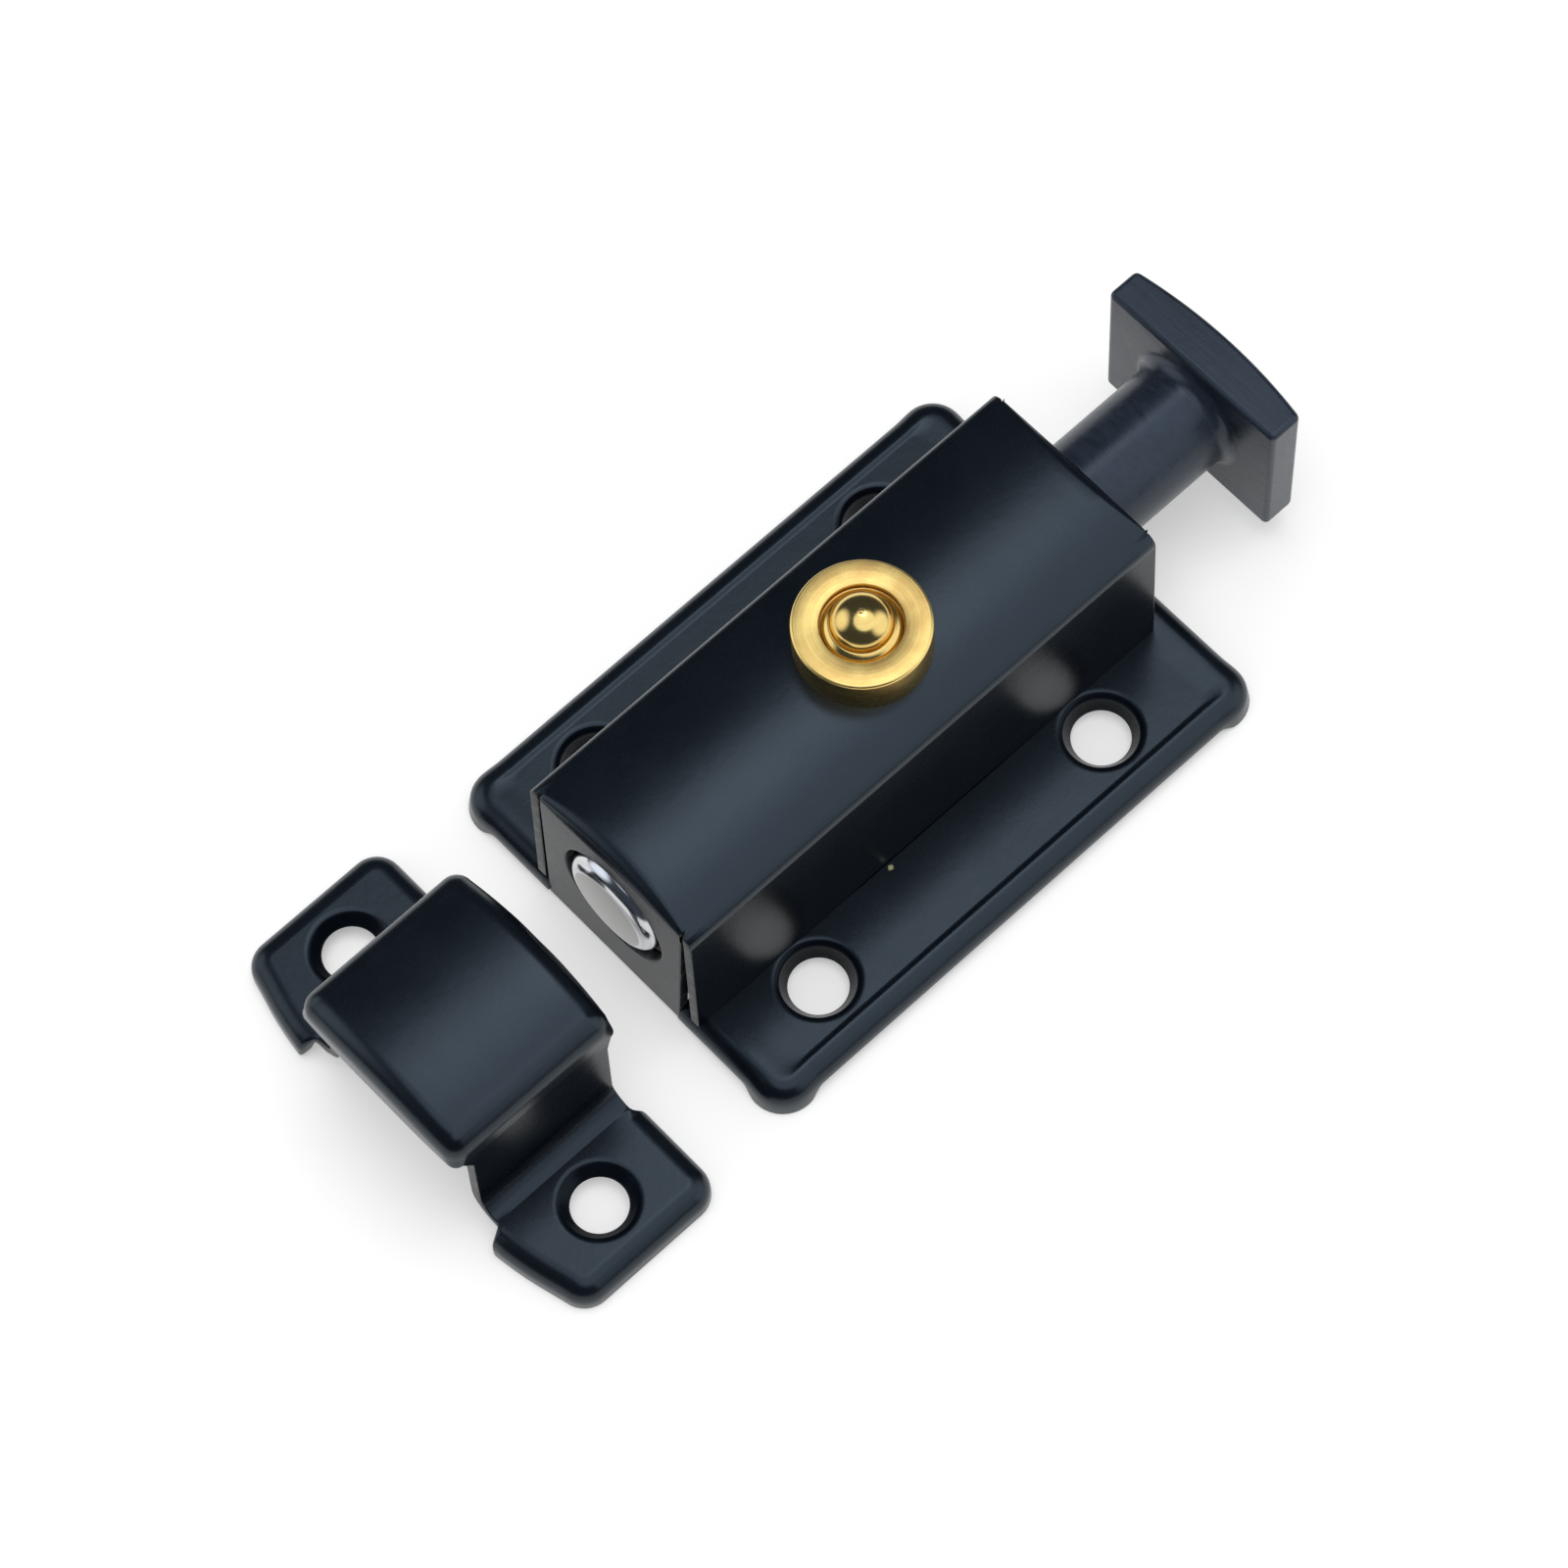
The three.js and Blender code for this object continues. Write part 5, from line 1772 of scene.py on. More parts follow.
@dataclass
class Knob:
    """T knob: a rectangular plate with a convex outer face, on a shaft that flares into it."""

    inner: float
    axis_z: float
    shaft_end: float
    stud_end: float
    pin_x: float
    width: float = 15.8
    height: float = 12.7
    drop: float = 0.35
    thickness: float = 2.65
    bulge: float = 0.75
    edge: float = 0.4
    shaft: float = 4.1
    stud: float = 2.3
    flare: Plan = (1.1, 0.95)
    flare_steps: int = 10
    face_steps: int = 24
    pin_radius: float = 0.6
    pin_half: float = 3.8
    pin_edge: float = 0.12
    past_flare: float = 1.6
    sharp: float = 50.0
    pin_sharp: float = 40.0

    def stem(self) -> list[Plan]:
        """Outline of the shaft, from the plate's face to the stud's end.

        Returns:
            Points as (radius, place along it).
        """
        along, out = self.flare
        fillet = [
            (self.shaft + out * (1 - c), self.inner + along * (1 - s))
            for c, s in arc((0.0, 0.0), 1.0, 90, 0, self.flare_steps)
        ]
        nose = self.edge / 2
        return [
            *fillet, (self.shaft, self.inner + along * self.past_flare),
            (self.shaft, self.shaft_end - nose), (self.shaft - nose, self.shaft_end),
            (self.stud, self.shaft_end), (self.stud, self.stud_end), (0.0, self.stud_end),
        ]

    def face(self, y: float) -> float:
        """Place along the bolt of the plate's convex face, at a distance from its middle."""
        return self.inner - self.thickness - self.bulge * (1 - (y / (self.width / 2)) ** 2)

    def build(self, finish: Material, steel: Material) -> list[Piece]:
        """Builds and dresses the knob and the pin that holds it in the bolt.

        Args:
            finish: The knob's paint.
            steel: The pin's steel.

        Returns:
            The pieces.
        """
        solid = Solid()
        shape = solid.shape
        neck = solid.turn(self.stem(), Axis.ALONG_BOLT, (0.0, self.axis_z), whole=False)[0]
        half_width, half_height = self.width / 2, self.height / 2
        middle = self.axis_z - self.drop
        across = spread(-half_width, half_width, self.face_steps)
        top, bottom = (
            [shape.verts.new((self.face(y), y, middle + side * half_height)) for y in across]
            for side in (1, -1)
        )
        corners = [
            shape.verts.new((self.inner, y * half_width, middle + z * half_height))
            for y, z in ((-1, -1), (1, -1), (1, 1), (-1, 1))
        ]
        for i in range(len(across) - 1):
            shape.faces.new((top[i], top[i + 1], bottom[i + 1], bottom[i]))
        shape.faces.new([*top, corners[2], corners[3]])
        shape.faces.new([*bottom, corners[1], corners[0]])
        shape.faces.new((corners[3], top[0], bottom[0], corners[0]))
        shape.faces.new((corners[2], top[-1], bottom[-1], corners[1]))
        order = [*corners, *neck]
        for triangle in tessellate_polygon([[v.co for v in corners], [v.co for v in neck]]):
            shape.faces.new([order[corner] for corner in triangle])
        knob = solid.build("turned_knob")
        ease_edges(knob, self.edge, segments=4, angle=self.sharp)
        return [
            show(knob, Body.BOLT, Slot.KNOB_PAINT, ["knob"], finish),
            show(self.cross_pin(), Body.BOLT, Slot.SPRING_STEEL, ["knob_pin"], steel),
        ]

    def cross_pin(self) -> Piece:
        """The pin, turned upright and then laid across the bolt.

        Returns:
            The piece.
        """
        pin = Solid()
        radius, half, edge = self.pin_radius, self.pin_half, self.pin_edge
        pin.turn([
            (0.0, -half), (radius - edge, -half), (radius, edge - half),
            (radius, half - edge), (radius - edge, half), (0.0, half),
        ], Axis.UPRIGHT, (0.0, 0.0), segments=32)
        laid = Matrix.Translation((self.pin_x, 0.0, self.axis_z)) @ Matrix.Rotation(pi / 2, 4, "X")
        bmesh.ops.transform(pin.shape, matrix=laid, verts=pin.shape.verts)
        piece = pin.build("cross_pin")
        keep_crisp(piece, self.pin_sharp)
        return piece


@dataclass
class Bolt:
    """Round bolt with a keyhole through it for the button pin and a groove for its snap ring."""

    rear: float
    tip: float
    axis_z: float
    button_x: float
    stroke: float
    clip: Plan
    radius: float = 4.1
    nose: float = 1.1
    nose_arc: float = 84.0
    nose_steps: int = 10
    face_bulge: float = 0.1
    face_shares: tuple[float, ...] = (0.95, 0.85, 0.7, 0.5, 0.3, 0.0)
    rear_edge: float = 0.15
    groove: float = 3.6
    stud_bore: float = 2.42
    stud_depth: float = 2.88
    flat_drop: float = 1.5
    recess: Plan = (-18.325, -1.825)
    slot_half: float = 1.5
    pocket: float = 2.5
    ring_outer: float = 5.13
    ring_gap: float = 22.0
    ring_steps: int = 64
    ring_edge: float = 0.06
    groove_room: float = 0.05
    past: float = 1.0
    slot_steps: int = 16
    pocket_steps: int = 40
    sharp: float = 38.0

    def build(self, finish: Material, steel: Material) -> list[Piece]:
        """Builds and dresses the bolt and its snap ring.

        Args:
            finish: The bolt's chrome.
            steel: The ring's steel.

        Returns:
            The pieces.
        """
        piece = turned("round_bolt", self.outline(), Axis.ALONG_BOLT, (0.0, self.axis_z))
        carve(piece, self.recess_cutter())
        carve(piece, self.keyhole_cutter())
        keep_crisp(piece, self.sharp)
        ring = Solid()
        low, high = self.clip
        flat = split_ring(self.ring_outer, self.groove + self.groove_room, self.ring_gap, self.ring_steps)
        front = high - self.groove_room
        ring.extrude(
            [(front, y, self.axis_z + z) for z, y in flat],
            (low + self.groove_room - front, 0.0, 0.0),
        )
        snap = ring.build("snap_ring")
        ease_edges(snap, self.ring_edge)
        return [
            show(piece, Body.BOLT, Slot.CHROME, ["bolt"], finish),
            show(snap, Body.BOLT, Slot.SPRING_STEEL, ["spring_clip"], steel),
        ]

    def outline(self) -> list[Plan]:
        """Section of the bolt as (radius, place along it), from the stud's bore to its tip.

        Returns:
            The section's points.
        """
        edge = self.radius - self.nose
        shoulder = self.tip - self.face_bulge
        return [
            (0.0, self.rear + self.stud_depth), (self.stud_bore, self.rear + self.stud_depth),
            (self.stud_bore, self.rear), (self.radius - self.rear_edge, self.rear),
            (self.radius, self.rear + self.rear_edge), (self.radius, self.clip[0]),
            (self.groove, self.clip[0]), (self.groove, self.clip[1]), (self.radius, self.clip[1]),
            *arc((edge, shoulder - self.nose), self.nose, 0, self.nose_arc, self.nose_steps),
            *[(edge * share, self.tip - self.face_bulge * share * share) for share in self.face_shares],
        ]

    def recess_cutter(self) -> Piece:
        """What is milled off under the bolt for the button pin's lock shoulder.

        Returns:
            The cutter.
        """
        cutter = Solid()
        reach = self.radius + self.past
        outline = [(x, -reach, self.axis_z - reach) for x in self.recess]
        outline += [(x, reach, self.axis_z - reach) for x in reversed(self.recess)]
        cutter.extrude(outline, (0.0, 0.0, reach - self.flat_drop))
        return cutter.build("recess_cutter")

    def keyhole_cutter(self) -> Piece:
        """Slot for the button pin's neck, with the pocket that its lock shoulder springs into.

        Returns:
            The cutter.
        """
        cutter = Solid()
        open_to = degrees(asin(self.slot_half / self.pocket))
        behind = (self.button_x - self.stroke, 0.0)
        outline = [
            *arc((self.button_x, 0.0), self.slot_half, -90, 90, self.slot_steps),
            *arc(behind, self.pocket, open_to, 360 - open_to, self.pocket_steps),
        ]
        reach = self.radius + self.past
        cutter.extrude([(x, y, self.axis_z - reach) for x, y in outline], (0.0, 0.0, 2 * reach))
        return cutter.build("keyhole_cutter")


@dataclass
class Coil:
    """Coil spring with a closed turn at each end."""

    name: str
    nodes: list[str]
    body: Body
    joint: str
    axis: Axis
    start: Point
    length: float
    radius: float
    wire: float
    turns: float
    keep: float
    anchor: Point
    steps: int = 32
    sharp: float = 50.0

    def line(self) -> list[Vector]:
        """Centreline of the wire.

        Returns:
            Its points.
        """
        count = round(self.turns * self.steps)
        rise = self.length - self.wire
        pitch = (rise - 2 * self.wire) / (self.turns - 2)
        points = []
        for i in range(count + 1):
            turn = self.turns * i / count
            opened = min(max(turn - 1, 0.0), self.turns - 2)
            along = self.wire / 2 + opened * pitch + (turn - opened) * self.wire
            angle = 2 * pi * turn
            u, v = self.radius * cos(angle), self.radius * sin(angle)
            offset = (u, v, along) if self.axis is Axis.UPRIGHT else (along, v, -u)
            points.append(Vector(self.start) + Vector(offset))
        return points

    def build(self, finish: Material) -> Piece:
        """Builds and dresses the spring.

        Args:
            finish: Its steel.

        Returns:
            The piece.
        """
        wire = Solid()
        up = Vector((0, 0, 1)) if self.axis is Axis.UPRIGHT else Vector((1, 0, 0))
        wire.sweep(self.line(), self.wire / 2, up)
        piece = wire.build(self.name)
        keep_crisp(piece, self.sharp)
        show(piece, self.body, Slot.SPRING_STEEL, self.nodes, finish)
        anchor = tuple(value * MM for value in self.anchor)
        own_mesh(piece)
        return piece


@dataclass
class Washer:
    """Thrust washer that the return spring bears on."""

    rear: float
    front: float
    axis_z: float
    inner: float = 4.45
    outer: float = 5.5
    edge: float = 0.08
    sharp: float = 30.0

    def build(self, finish: Material) -> Piece:
        """Builds and dresses the washer.

        Args:
            finish: Its steel.

        Returns:
            The piece.
        """
        edge = self.edge
        piece = turned("thrust_ring", [
            (self.inner, self.rear + edge), (self.inner + edge, self.rear),
            (self.outer - edge, self.rear), (self.outer, self.rear + edge),
            (self.outer, self.front - edge), (self.outer - edge, self.front),
            (self.inner + edge, self.front), (self.inner, self.front - edge),
        ], Axis.ALONG_BOLT, (0.0, self.axis_z), segments=72)
        keep_crisp(piece, self.sharp)
        return show(piece, Body.LATCH, Slot.SPRING_STEEL, ["thrust_washer"], finish)


# --- Button ---


@dataclass
class Button:
    """Push button: a brass collar swaged into the cover and the domed pin that slides in it."""

    x: float
    collar_top: float
    seat: float
    collar: float = 4.75
    bore: float = 2.84
    ledge: Plan = (2.74, 0.5)
    edge: float = 0.22
    bore_edge: float = 0.1
    seat_edge: float = 0.1
    spigot: float = 3.65
    swage: float = 4.3
    swage_edge: float = 0.2
    swage_foot: float = 14.6
    cover_sheet: float = 1.0
    head: float = 2.68
    head_drop: float = 0.02
    head_fall: float = 0.25
    head_edge: float = 0.15
    head_turn: float = 66.0
    head_foot: float = 15.2
    dome: float = 2.22
    dome_rim: float = 0.1
    dome_height: float = 1.8
    nub: Plan = (0.14, 0.07)
    nub_foot: float = 1.4
    nub_waist: float = 0.6
    nub_sink: float = 0.01
    nub_room: float = 1.6
    neck: float = 1.2
    neck_edge: float = 0.15
    groove_share: float = 0.8
    room: float = 0.05
    lock: float = 2.2
    lock_top: float = 7.9
    tail: float = 4.8
    clip_range: Plan = (5.8, 6.25)
    clip_outer: float = 2.79
    clip_gap: float = 22.0
    clip_steps: int = 48
    clip_edge: float = 0.04
    sharp: float = 32.0
    edge_steps: int = 4
    dome_steps: int = 20

    def collar_outline(self) -> list[Plan]:
        """Section of the collar as (radius, height).

        Returns:
            The section's points.
        """
        top, edge, bore = self.collar_top, self.edge, self.bore
        swage_top = self.seat - self.cover_sheet
        return [
            *arc((self.collar - edge, top - edge), edge, 0, 90, 6),
            *arc((bore + self.bore_edge, top - self.bore_edge), self.bore_edge, 90, 180, self.edge_steps),
            (bore, top - self.ledge[1]),
            (self.ledge[0], top - self.ledge[1] - self.room), (self.ledge[0], self.swage_foot),
            (self.swage - self.swage_edge, self.swage_foot), (self.swage, self.swage_foot + self.swage_edge),
            (self.swage, swage_top), (self.spigot, swage_top), (self.spigot, self.seat),
            (self.collar - self.seat_edge, self.seat), (self.collar, self.seat + self.seat_edge),
        ]

    def pin_outline(self) -> list[Plan]:
        """Section of the pin as (radius, height), from its tail to the tip of its dome.

        Returns:
            The section's points.
        """
        top = self.collar_top - self.head_drop
        shoulder = top - self.head_fall
        groove = self.neck * self.groove_share
        low, high = self.clip_range
        edge, (radius, height) = self.head_edge, self.nub
        dome = [
            (self.dome * c, top + self.dome_height * s)
            for c, s in arc((0.0, 0.0), 1.0, 0, 90, self.dome_steps)
            if self.dome * c > radius * self.nub_room
        ]
        tip = top + self.dome_height
        return [
            (0.0, self.tail), (self.neck - self.neck_edge, self.tail),
            (self.neck, self.tail + self.neck_edge),
            (self.neck, low - self.room), (groove, low - self.room), (groove, high + self.room),
            (self.lock, high + self.room), (self.lock, self.lock_top), (self.neck, self.lock_top),
            (self.neck, self.head_foot), (self.head, self.head_foot),
            *arc((self.head - edge, shoulder - edge), edge, 0, self.head_turn, self.edge_steps),
            (self.dome + self.dome_rim, top - self.head_drop),
            *dome,
            (radius * self.nub_foot, tip - self.nub_sink), (radius, tip + height * self.nub_waist),
            (radius * 0.5, tip + height), (0.0, tip + height),
        ]

    def build(self, brass: Sequence[Material], steel: Material) -> list[Piece]:
        """Builds and dresses the collar, the pin and the pin's snap ring.

        Args:
            brass: Materials of the collar and the pin.
            steel: The ring's steel.

        Returns:
            The pieces.
        """
        collar = turned("swaged_collar", self.collar_outline(), Axis.UPRIGHT, (self.x, 0.0), segments=128)
        pin = turned("domed_pin", self.pin_outline(), Axis.UPRIGHT, (self.x, 0.0))
        for piece in (collar, pin):
            keep_crisp(piece, self.sharp)
        clip = Solid()
        low, high = self.clip_range
        inner = self.neck * self.groove_share + self.room
        flat = split_ring(self.clip_outer, inner, self.clip_gap, self.clip_steps)
        clip.extrude([(self.x + x, y, low) for x, y in flat], (0.0, 0.0, high - low))
        snap = clip.build("pin_snap_ring")
        ease_edges(snap, self.clip_edge)
        return [
            show(collar, Body.LATCH, Slot.BRASS, ["button_collar"], brass[0]),
            show(pin, Body.BUTTON, Slot.BRASS, ["button_pin"], brass[1]),
            show(snap, Body.BUTTON, Slot.SPRING_STEEL, ["lock_clip"], steel),
        ]


# --- Studio ---


@dataclass(frozen=True)
class SoftBox:
    """A soft patch of light in the room, by the direction that it stands in."""

    azimuth: float
    elevation: float
    core: float
    rim: float
    colour: Colour

    def share(self, graph: Graph, towards: Signal) -> Signal:
        """How much of it lies in a direction: 1 in its core, 0 past its rim.

        Args:
            graph: The tent's graph.
            towards: The direction.

        Returns:
            The share.
        """
        a, e = radians(self.azimuth), radians(self.elevation)
        middle = (cos(a) * cos(e), sin(a) * cos(e), sin(e))
        facing = graph.vector("DOT_PRODUCT", towards, middle, 1)
        return facing.between(cos(radians(self.rim)), cos(radians(self.core)))


@dataclass
class Studio:
    """White table in a dark room, under one large soft light and with soft boxes that show in gloss."""

    target: Point = (4.445, -1.899, 0.0)
    azimuth: float = 51.428
    elevation: float = 65.544
    roll: float = -4.872
    distance: float = 396.206
    lens: float = 132.80
    sensor: float = 36.0
    shift: float = -3.225
    floor_size: float = 4000.0
    floor_drop: float = 0.02
    table_colour: float = 0.74
    table_glow: float = 0.36
    room: Colour = (0.05, 0.06, 0.08, 1.0)
    boxes: tuple[SoftBox, ...] = (
        SoftBox(133.0, 29.0, 19.0, 42.0, (1.15, 1.22, 1.34, 1.0)),
        SoftBox(306.0, 27.0, 14.0, 34.0, (1.15, 1.22, 1.34, 1.0)),
        SoftBox(120.0, 81.0, 27.0, 34.0, (1.15, 1.24, 1.4, 1.0)),
        SoftBox(217.0, 71.5, 6.0, 10.5, (2.9, 3.05, 3.3, 1.0)),
    )
    tent_radius: float = 1500.0
    air_glow: float = 0.65
    key_power: float = 3.2
    key_size: float = 700.0
    key_height: float = 900.0
    tent_top: float = 84.0
    tent_rings: int = 12
    tent_facets: int = 48

    def aim(self) -> tuple[Vector, Vector, Vector]:
        """The camera's right, up and backward directions.

        Returns:
            The three directions.
        """
        a, e = radians(self.azimuth), radians(self.elevation)
        back = Vector((cos(a) * cos(e), sin(a) * cos(e), sin(e)))
        level = Vector((-sin(a), cos(a), 0.0))
        upright = back.cross(level)
        r = radians(self.roll)
        right = cos(r) * level + sin(r) * upright
        up = -sin(r) * level + cos(r) * upright
        return right, up, back

    def place_camera(self) -> Piece:
        """Stands the camera where it sees the latch from above its front corner.

        Returns:
            The camera.
        """
        right, up, back = self.aim()
        target = Vector(self.target) + Vector((self.shift, 0.0, 0.0))
        lens = bpy.data.cameras.new("camera")
        lens.lens = self.lens
        lens.sensor_width = self.sensor
        lens.clip_end = 100.0
        camera = bpy.data.objects.new("camera", lens)
        aimed = Matrix((right, up, back)).transposed().to_4x4()
        camera.matrix_world = Matrix.Translation((target + back * self.distance) * MM) @ aimed
        bpy.context.scene.collection.objects.link(camera)
        bpy.context.scene.camera = camera
        return camera

    @staticmethod
    def seen_white(graph: Graph) -> Signal:
        """1 for rays from the camera, off gloss or through glass, 0 for the light that falls.

        Args:
            graph: The graph to add it to.

        Returns:
            The switch.
        """
        path = graph.node("ShaderNodeLightPath", output="Is Camera Ray")
        node = path.socket.node
        glossy = Signal(graph, node.outputs["Is Glossy Ray"])
        through = Signal(graph, node.outputs["Is Transmission Ray"])
        return path | glossy | through

    def lay_floor(self) -> Piece:
        """Lays the white table.

        Returns:
            The table.
        """
        half = self.floor_size / 2
        table = Solid()
        corners = [(-half, -half), (half, -half), (half, half), (-half, half)]
        table.shape.faces.new([table.shape.verts.new((x, y, -self.floor_drop)) for x, y in corners])
        floor = table.build("white_table")
        material, graph = new_material("white table")
        graph.surface({
            "Base Color": grey(self.table_colour),
            "Roughness": 0.9,
            "Specular IOR Level": 0.0,
            "Emission Color": graph.mix(grey(0.0), grey(self.table_glow), self.seen_white(graph)),
            "Emission Strength": 1.0,
        })
        floor.data.materials.append(material)
        return floor

    def pitch_tent(self) -> Piece:
        """Sets up the tent round the table, whose soft boxes show in gloss.

        Returns:
            The tent.
        """
        tent = Solid()
        rings = []
        count = self.tent_facets
        turns = [2 * pi * i / count for i in range(count)]
        for elevation in spread(0, self.tent_top, self.tent_rings):
            out, up = (self.tent_radius * f(radians(elevation)) for f in (cos, sin))
            rings.append([tent.shape.verts.new((out * cos(t), out * sin(t), up)) for t in turns])
        for first, second in pairwise(rings):
            for i in range(count):
                tent.shape.faces.new((first[i - 1], first[i], second[i], second[i - 1]))
        tent.shape.faces.new(rings[-1])
        piece = tent.build("light_tent")
        material, graph = new_material("light tent")
        place = graph.node("ShaderNodeTexCoord", output="Object")
        towards = graph.node("ShaderNodeVectorMath", {"operation": "NORMALIZE"}, {0: place})
        colour: Feed = self.room
        for box in self.boxes:
            colour = graph.mix(colour, box.colour, box.share(graph, towards))
        graph.surface({
            "Base Color": grey(0.0),
            "Roughness": 1.0,
            "Specular IOR Level": 0.0,
            "Emission Color": colour,
            "Emission Strength": 1.0,
        })
        piece.data.materials.append(material)
        piece.visible_camera = False
        piece.visible_diffuse = False
        piece.visible_shadow = False
        piece.visible_transmission = False
        return piece

    def light_air(self) -> None:
        """Lights the surroundings."""
        world = bpy.data.worlds.new("air")
        bpy.context.scene.world = world
        world.use_nodes = True
        graph = Graph(world.node_tree)
        colour = graph.mix(grey(self.air_glow), grey(1.0), self.seen_white(graph))
        graph.node("ShaderNodeOutputWorld", None, {
            "Surface": graph.node("ShaderNodeBackground", None, {"Color": colour, "Strength": 1.0}),
        })

    def hang_light(self) -> Piece:
        """Hangs the large soft light over the table.

        Returns:
            The light.
        """
        light = bpy.data.lights.new("soft light", "AREA")
        light.shape = "DISK"
        light.size = self.key_size * MM
        light.energy = self.key_power
        lamp = bpy.data.objects.new("soft_light", light)
        lamp.location = (0.0, 0.0, self.key_height * MM)
        lamp.visible_glossy = False
        bpy.context.scene.collection.objects.link(lamp)
        return lamp

    def build(self) -> None:
        """Sets up camera, table and light."""
        self.place_camera()
        self.lay_floor()
        self.pitch_tent()
        self.light_air()
        self.hang_light()
        bpy.context.scene.view_settings.view_transform = "Standard"


# --- The set ---

PAINT = Paint(
    name="black paint",
    colour=(0.0026, 0.0042, 0.0072, 1.0),
    worn=(0.11, 0.12, 0.125, 1.0),
    roughness=0.27,
    unevenness=0.07,
    peel=0.003,
    wear=0.3,
    spots=(
        Spot((0.9, 8.45, 2.3), 0.22, (0.42, 0.4, 0.2, 1.0)),
        Spot((31.1, 1.2, 14.3), 0.11, (0.3, 0.33, 0.36, 1.0)),
        Spot((28.2, 5.4, 13.9), 0.1, (0.25, 0.4, 0.42, 1.0)),
        Spot((9.3, -4.3, 15.9), 0.1, (0.3, 0.33, 0.34, 1.0)),
    ),
)
THIN_PAINT = replace(PAINT, name="thin paint", index=1.24, wear=0.15, spots=())
CUT_EDGE = CutEdge(
    name="painted cut edge",
    colour=(0.01, 0.013, 0.017, 1.0),
    bare=(0.13, 0.15, 0.14, 1.0),
)
KNOB_PAINT = BrushedPaint(
    name="knob paint",
    colour=(0.0125, 0.0175, 0.0275, 1.0),
    worn=(0.12, 0.13, 0.14, 1.0),
    roughness=0.3,
    stroke=(1.0, 0.06, 1.0),
)
SPRING_STEEL = DrawnWire(
    name="spring steel",
    colour=(0.42, 0.43, 0.44, 1.0),
    shade=(0.2, 0.2, 0.21, 1.0),
)
CHROME = TurnedMetal(
    name="chrome",
    colour=(0.66, 0.67, 0.68, 1.0),
    shade=(0.42, 0.43, 0.45, 1.0),
    # painted shade on the bolt's end face, for the shaded floor that it reflects
    painted_end_shade=(0.27, 0.27, 0.26, 1.0),
    axis=Axis.ALONG_BOLT,
    roughness=0.16,
    ring_depth=0.002,
)
TURNED_BRASS = TurnedMetal(
    name="turned brass",
    colour=(0.95, 0.7, 0.235, 1.0),
    shade=(0.66, 0.38, 0.12, 1.0),
    axis=Axis.UPRIGHT,
    roughness=0.3,
    ring_depth=0.006,
    tarnish=0.8,
)
POLISHED_BRASS = replace(
    TURNED_BRASS,
    name="polished brass",
    colour=(0.84, 0.61, 0.2, 1.0),
    roughness=0.16,
    ring_depth=0.002,
    tarnish=0.45,
)


@dataclass(frozen=True)
class Fits:
    """The few places that the frame's boxes don't give."""

    bore_drop: float = 0.3
    keeper_set_in: float = 0.355
    keeper_hole: float = 31.27
    shaft_gap: float = 0.1
    clip_room: float = 0.05
    collar_seat: float = 16.0


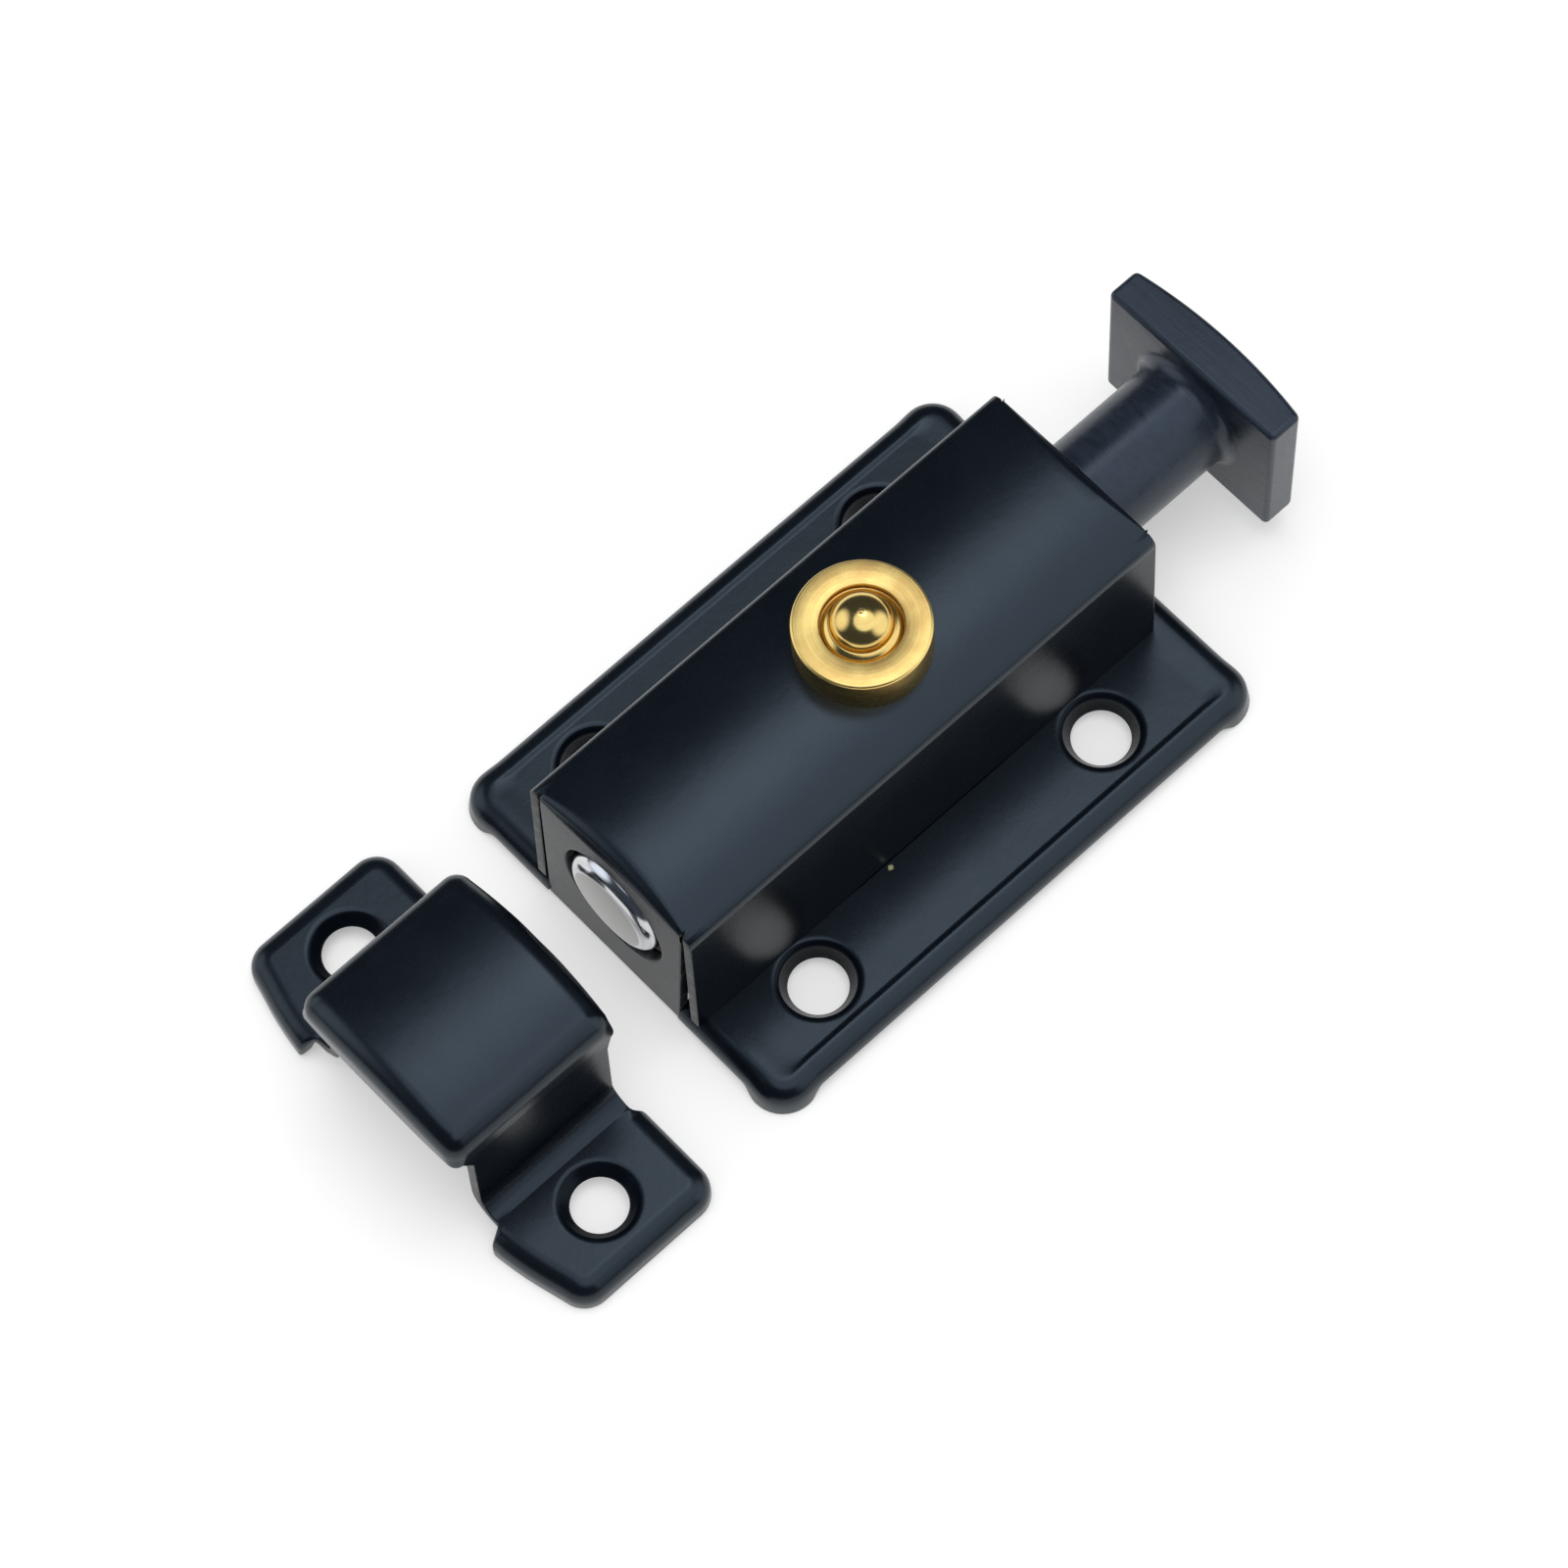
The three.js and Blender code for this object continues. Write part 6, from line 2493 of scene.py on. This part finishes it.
def write_sizes() -> None:
    """Updates the view layer."""
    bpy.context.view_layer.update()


def main() -> None:
    """Builds every piece in its place, then the studio."""
    logging.basicConfig(level=logging.INFO, format="%(message)s")
    fits = Fits()
    slide, press = JOINTS["bolt_slide"], JOINTS["button_press"]
    low, high = node_box("bolt")
    axis_z, rear, tip = (low.z + high.z) / 2, low.x, high.x
    low, high = node_box("button_collar")
    button_x, collar_top = (low.x + high.x) / 2, high.z
    coats = [finish.material() for finish in (PAINT, CUT_EDGE, THIN_PAINT)]
    steel = SPRING_STEEL.material()

    low, high = node_box("base_plate")
    flare, floor = BasePlate.ear_flare, high.z
    plate = BasePlate(front=high.x - flare, rear=low.x + flare, half_width=high.y - flare, height=floor)
    plate.build(coats)
    low, high = node_box("housing")
    cover = Cover(
        front=high.x, rear=low.x, half=high.y - Cover.splay, crown=high.z, floor=floor,
        button_x=button_x, bore_z=axis_z - fits.bore_drop,
    )
    cover.build(plate.hole_centre, coats)
    low, high = node_box("keeper")
    keeper = Keeper(
        near=low.x + fits.keeper_set_in, far=high.x, crown=high.z, half_length=high.y,
        hole_x=fits.keeper_hole, axis_z=axis_z,
    )
    keeper.build(coats)

    low, high = node_box("spring_clip")
    bolt = Bolt(
        rear=rear, tip=tip, axis_z=axis_z, button_x=button_x, stroke=slide["range_m"][1] / MM,
        clip=(low.x - fits.clip_room, high.x + fits.clip_room),
    )
    bolt.build(replace(CHROME, centre=(0.0, 0.0, axis_z)).material(), steel)
    low, high = node_box("knob")
    pin_low, pin_high = node_box("knob_pin")
    knob = Knob(
        inner=low.x + Knob.bulge + Knob.thickness, axis_z=axis_z, shaft_end=rear - fits.shaft_gap,
        stud_end=high.x, pin_x=(pin_low.x + pin_high.x) / 2,
    )
    knob.build(KNOB_PAINT.material(), steel)
    low, high = node_box("return_spring")
    return_coil = Coil(
        name="return_coil", nodes=["return_spring"], body=Body.LATCH, joint=slide["name"],
        axis=Axis.ALONG_BOLT, start=(low.x, 0.0, axis_z), length=high.x - low.x,
        radius=4.8, wire=0.7, turns=6.5, keep=0.344,
        anchor=(slide["deforming_nodes"][0]["fixed_end_x_m"] / MM, 0.0, axis_z),
    )
    return_coil.build(steel)
    low, high = node_box("button_spring")
    foot = (button_x, 0.0, low.z)
    button_coil = Coil(
        name="button_coil", nodes=["button_spring"], body=Body.LATCH, joint=press["name"],
        axis=Axis.UPRIGHT, start=foot, length=high.z - low.z,
        radius=1.725, wire=0.45, turns=4.0, keep=0.6, anchor=foot,
    )
    button_coil.build(steel)
    low, high = node_box("thrust_washer")
    Washer(rear=low.x, front=high.x, axis_z=axis_z).build(steel)
    brass = [
        replace(finish, centre=(button_x, 0.0, 0.0)).material() for finish in (TURNED_BRASS, POLISHED_BRASS)
    ]
    Button(x=button_x, collar_top=collar_top, seat=fits.collar_seat).build(brass, steel)

    write_sizes()
    Studio().build()


if __name__ == "__main__":
    main()
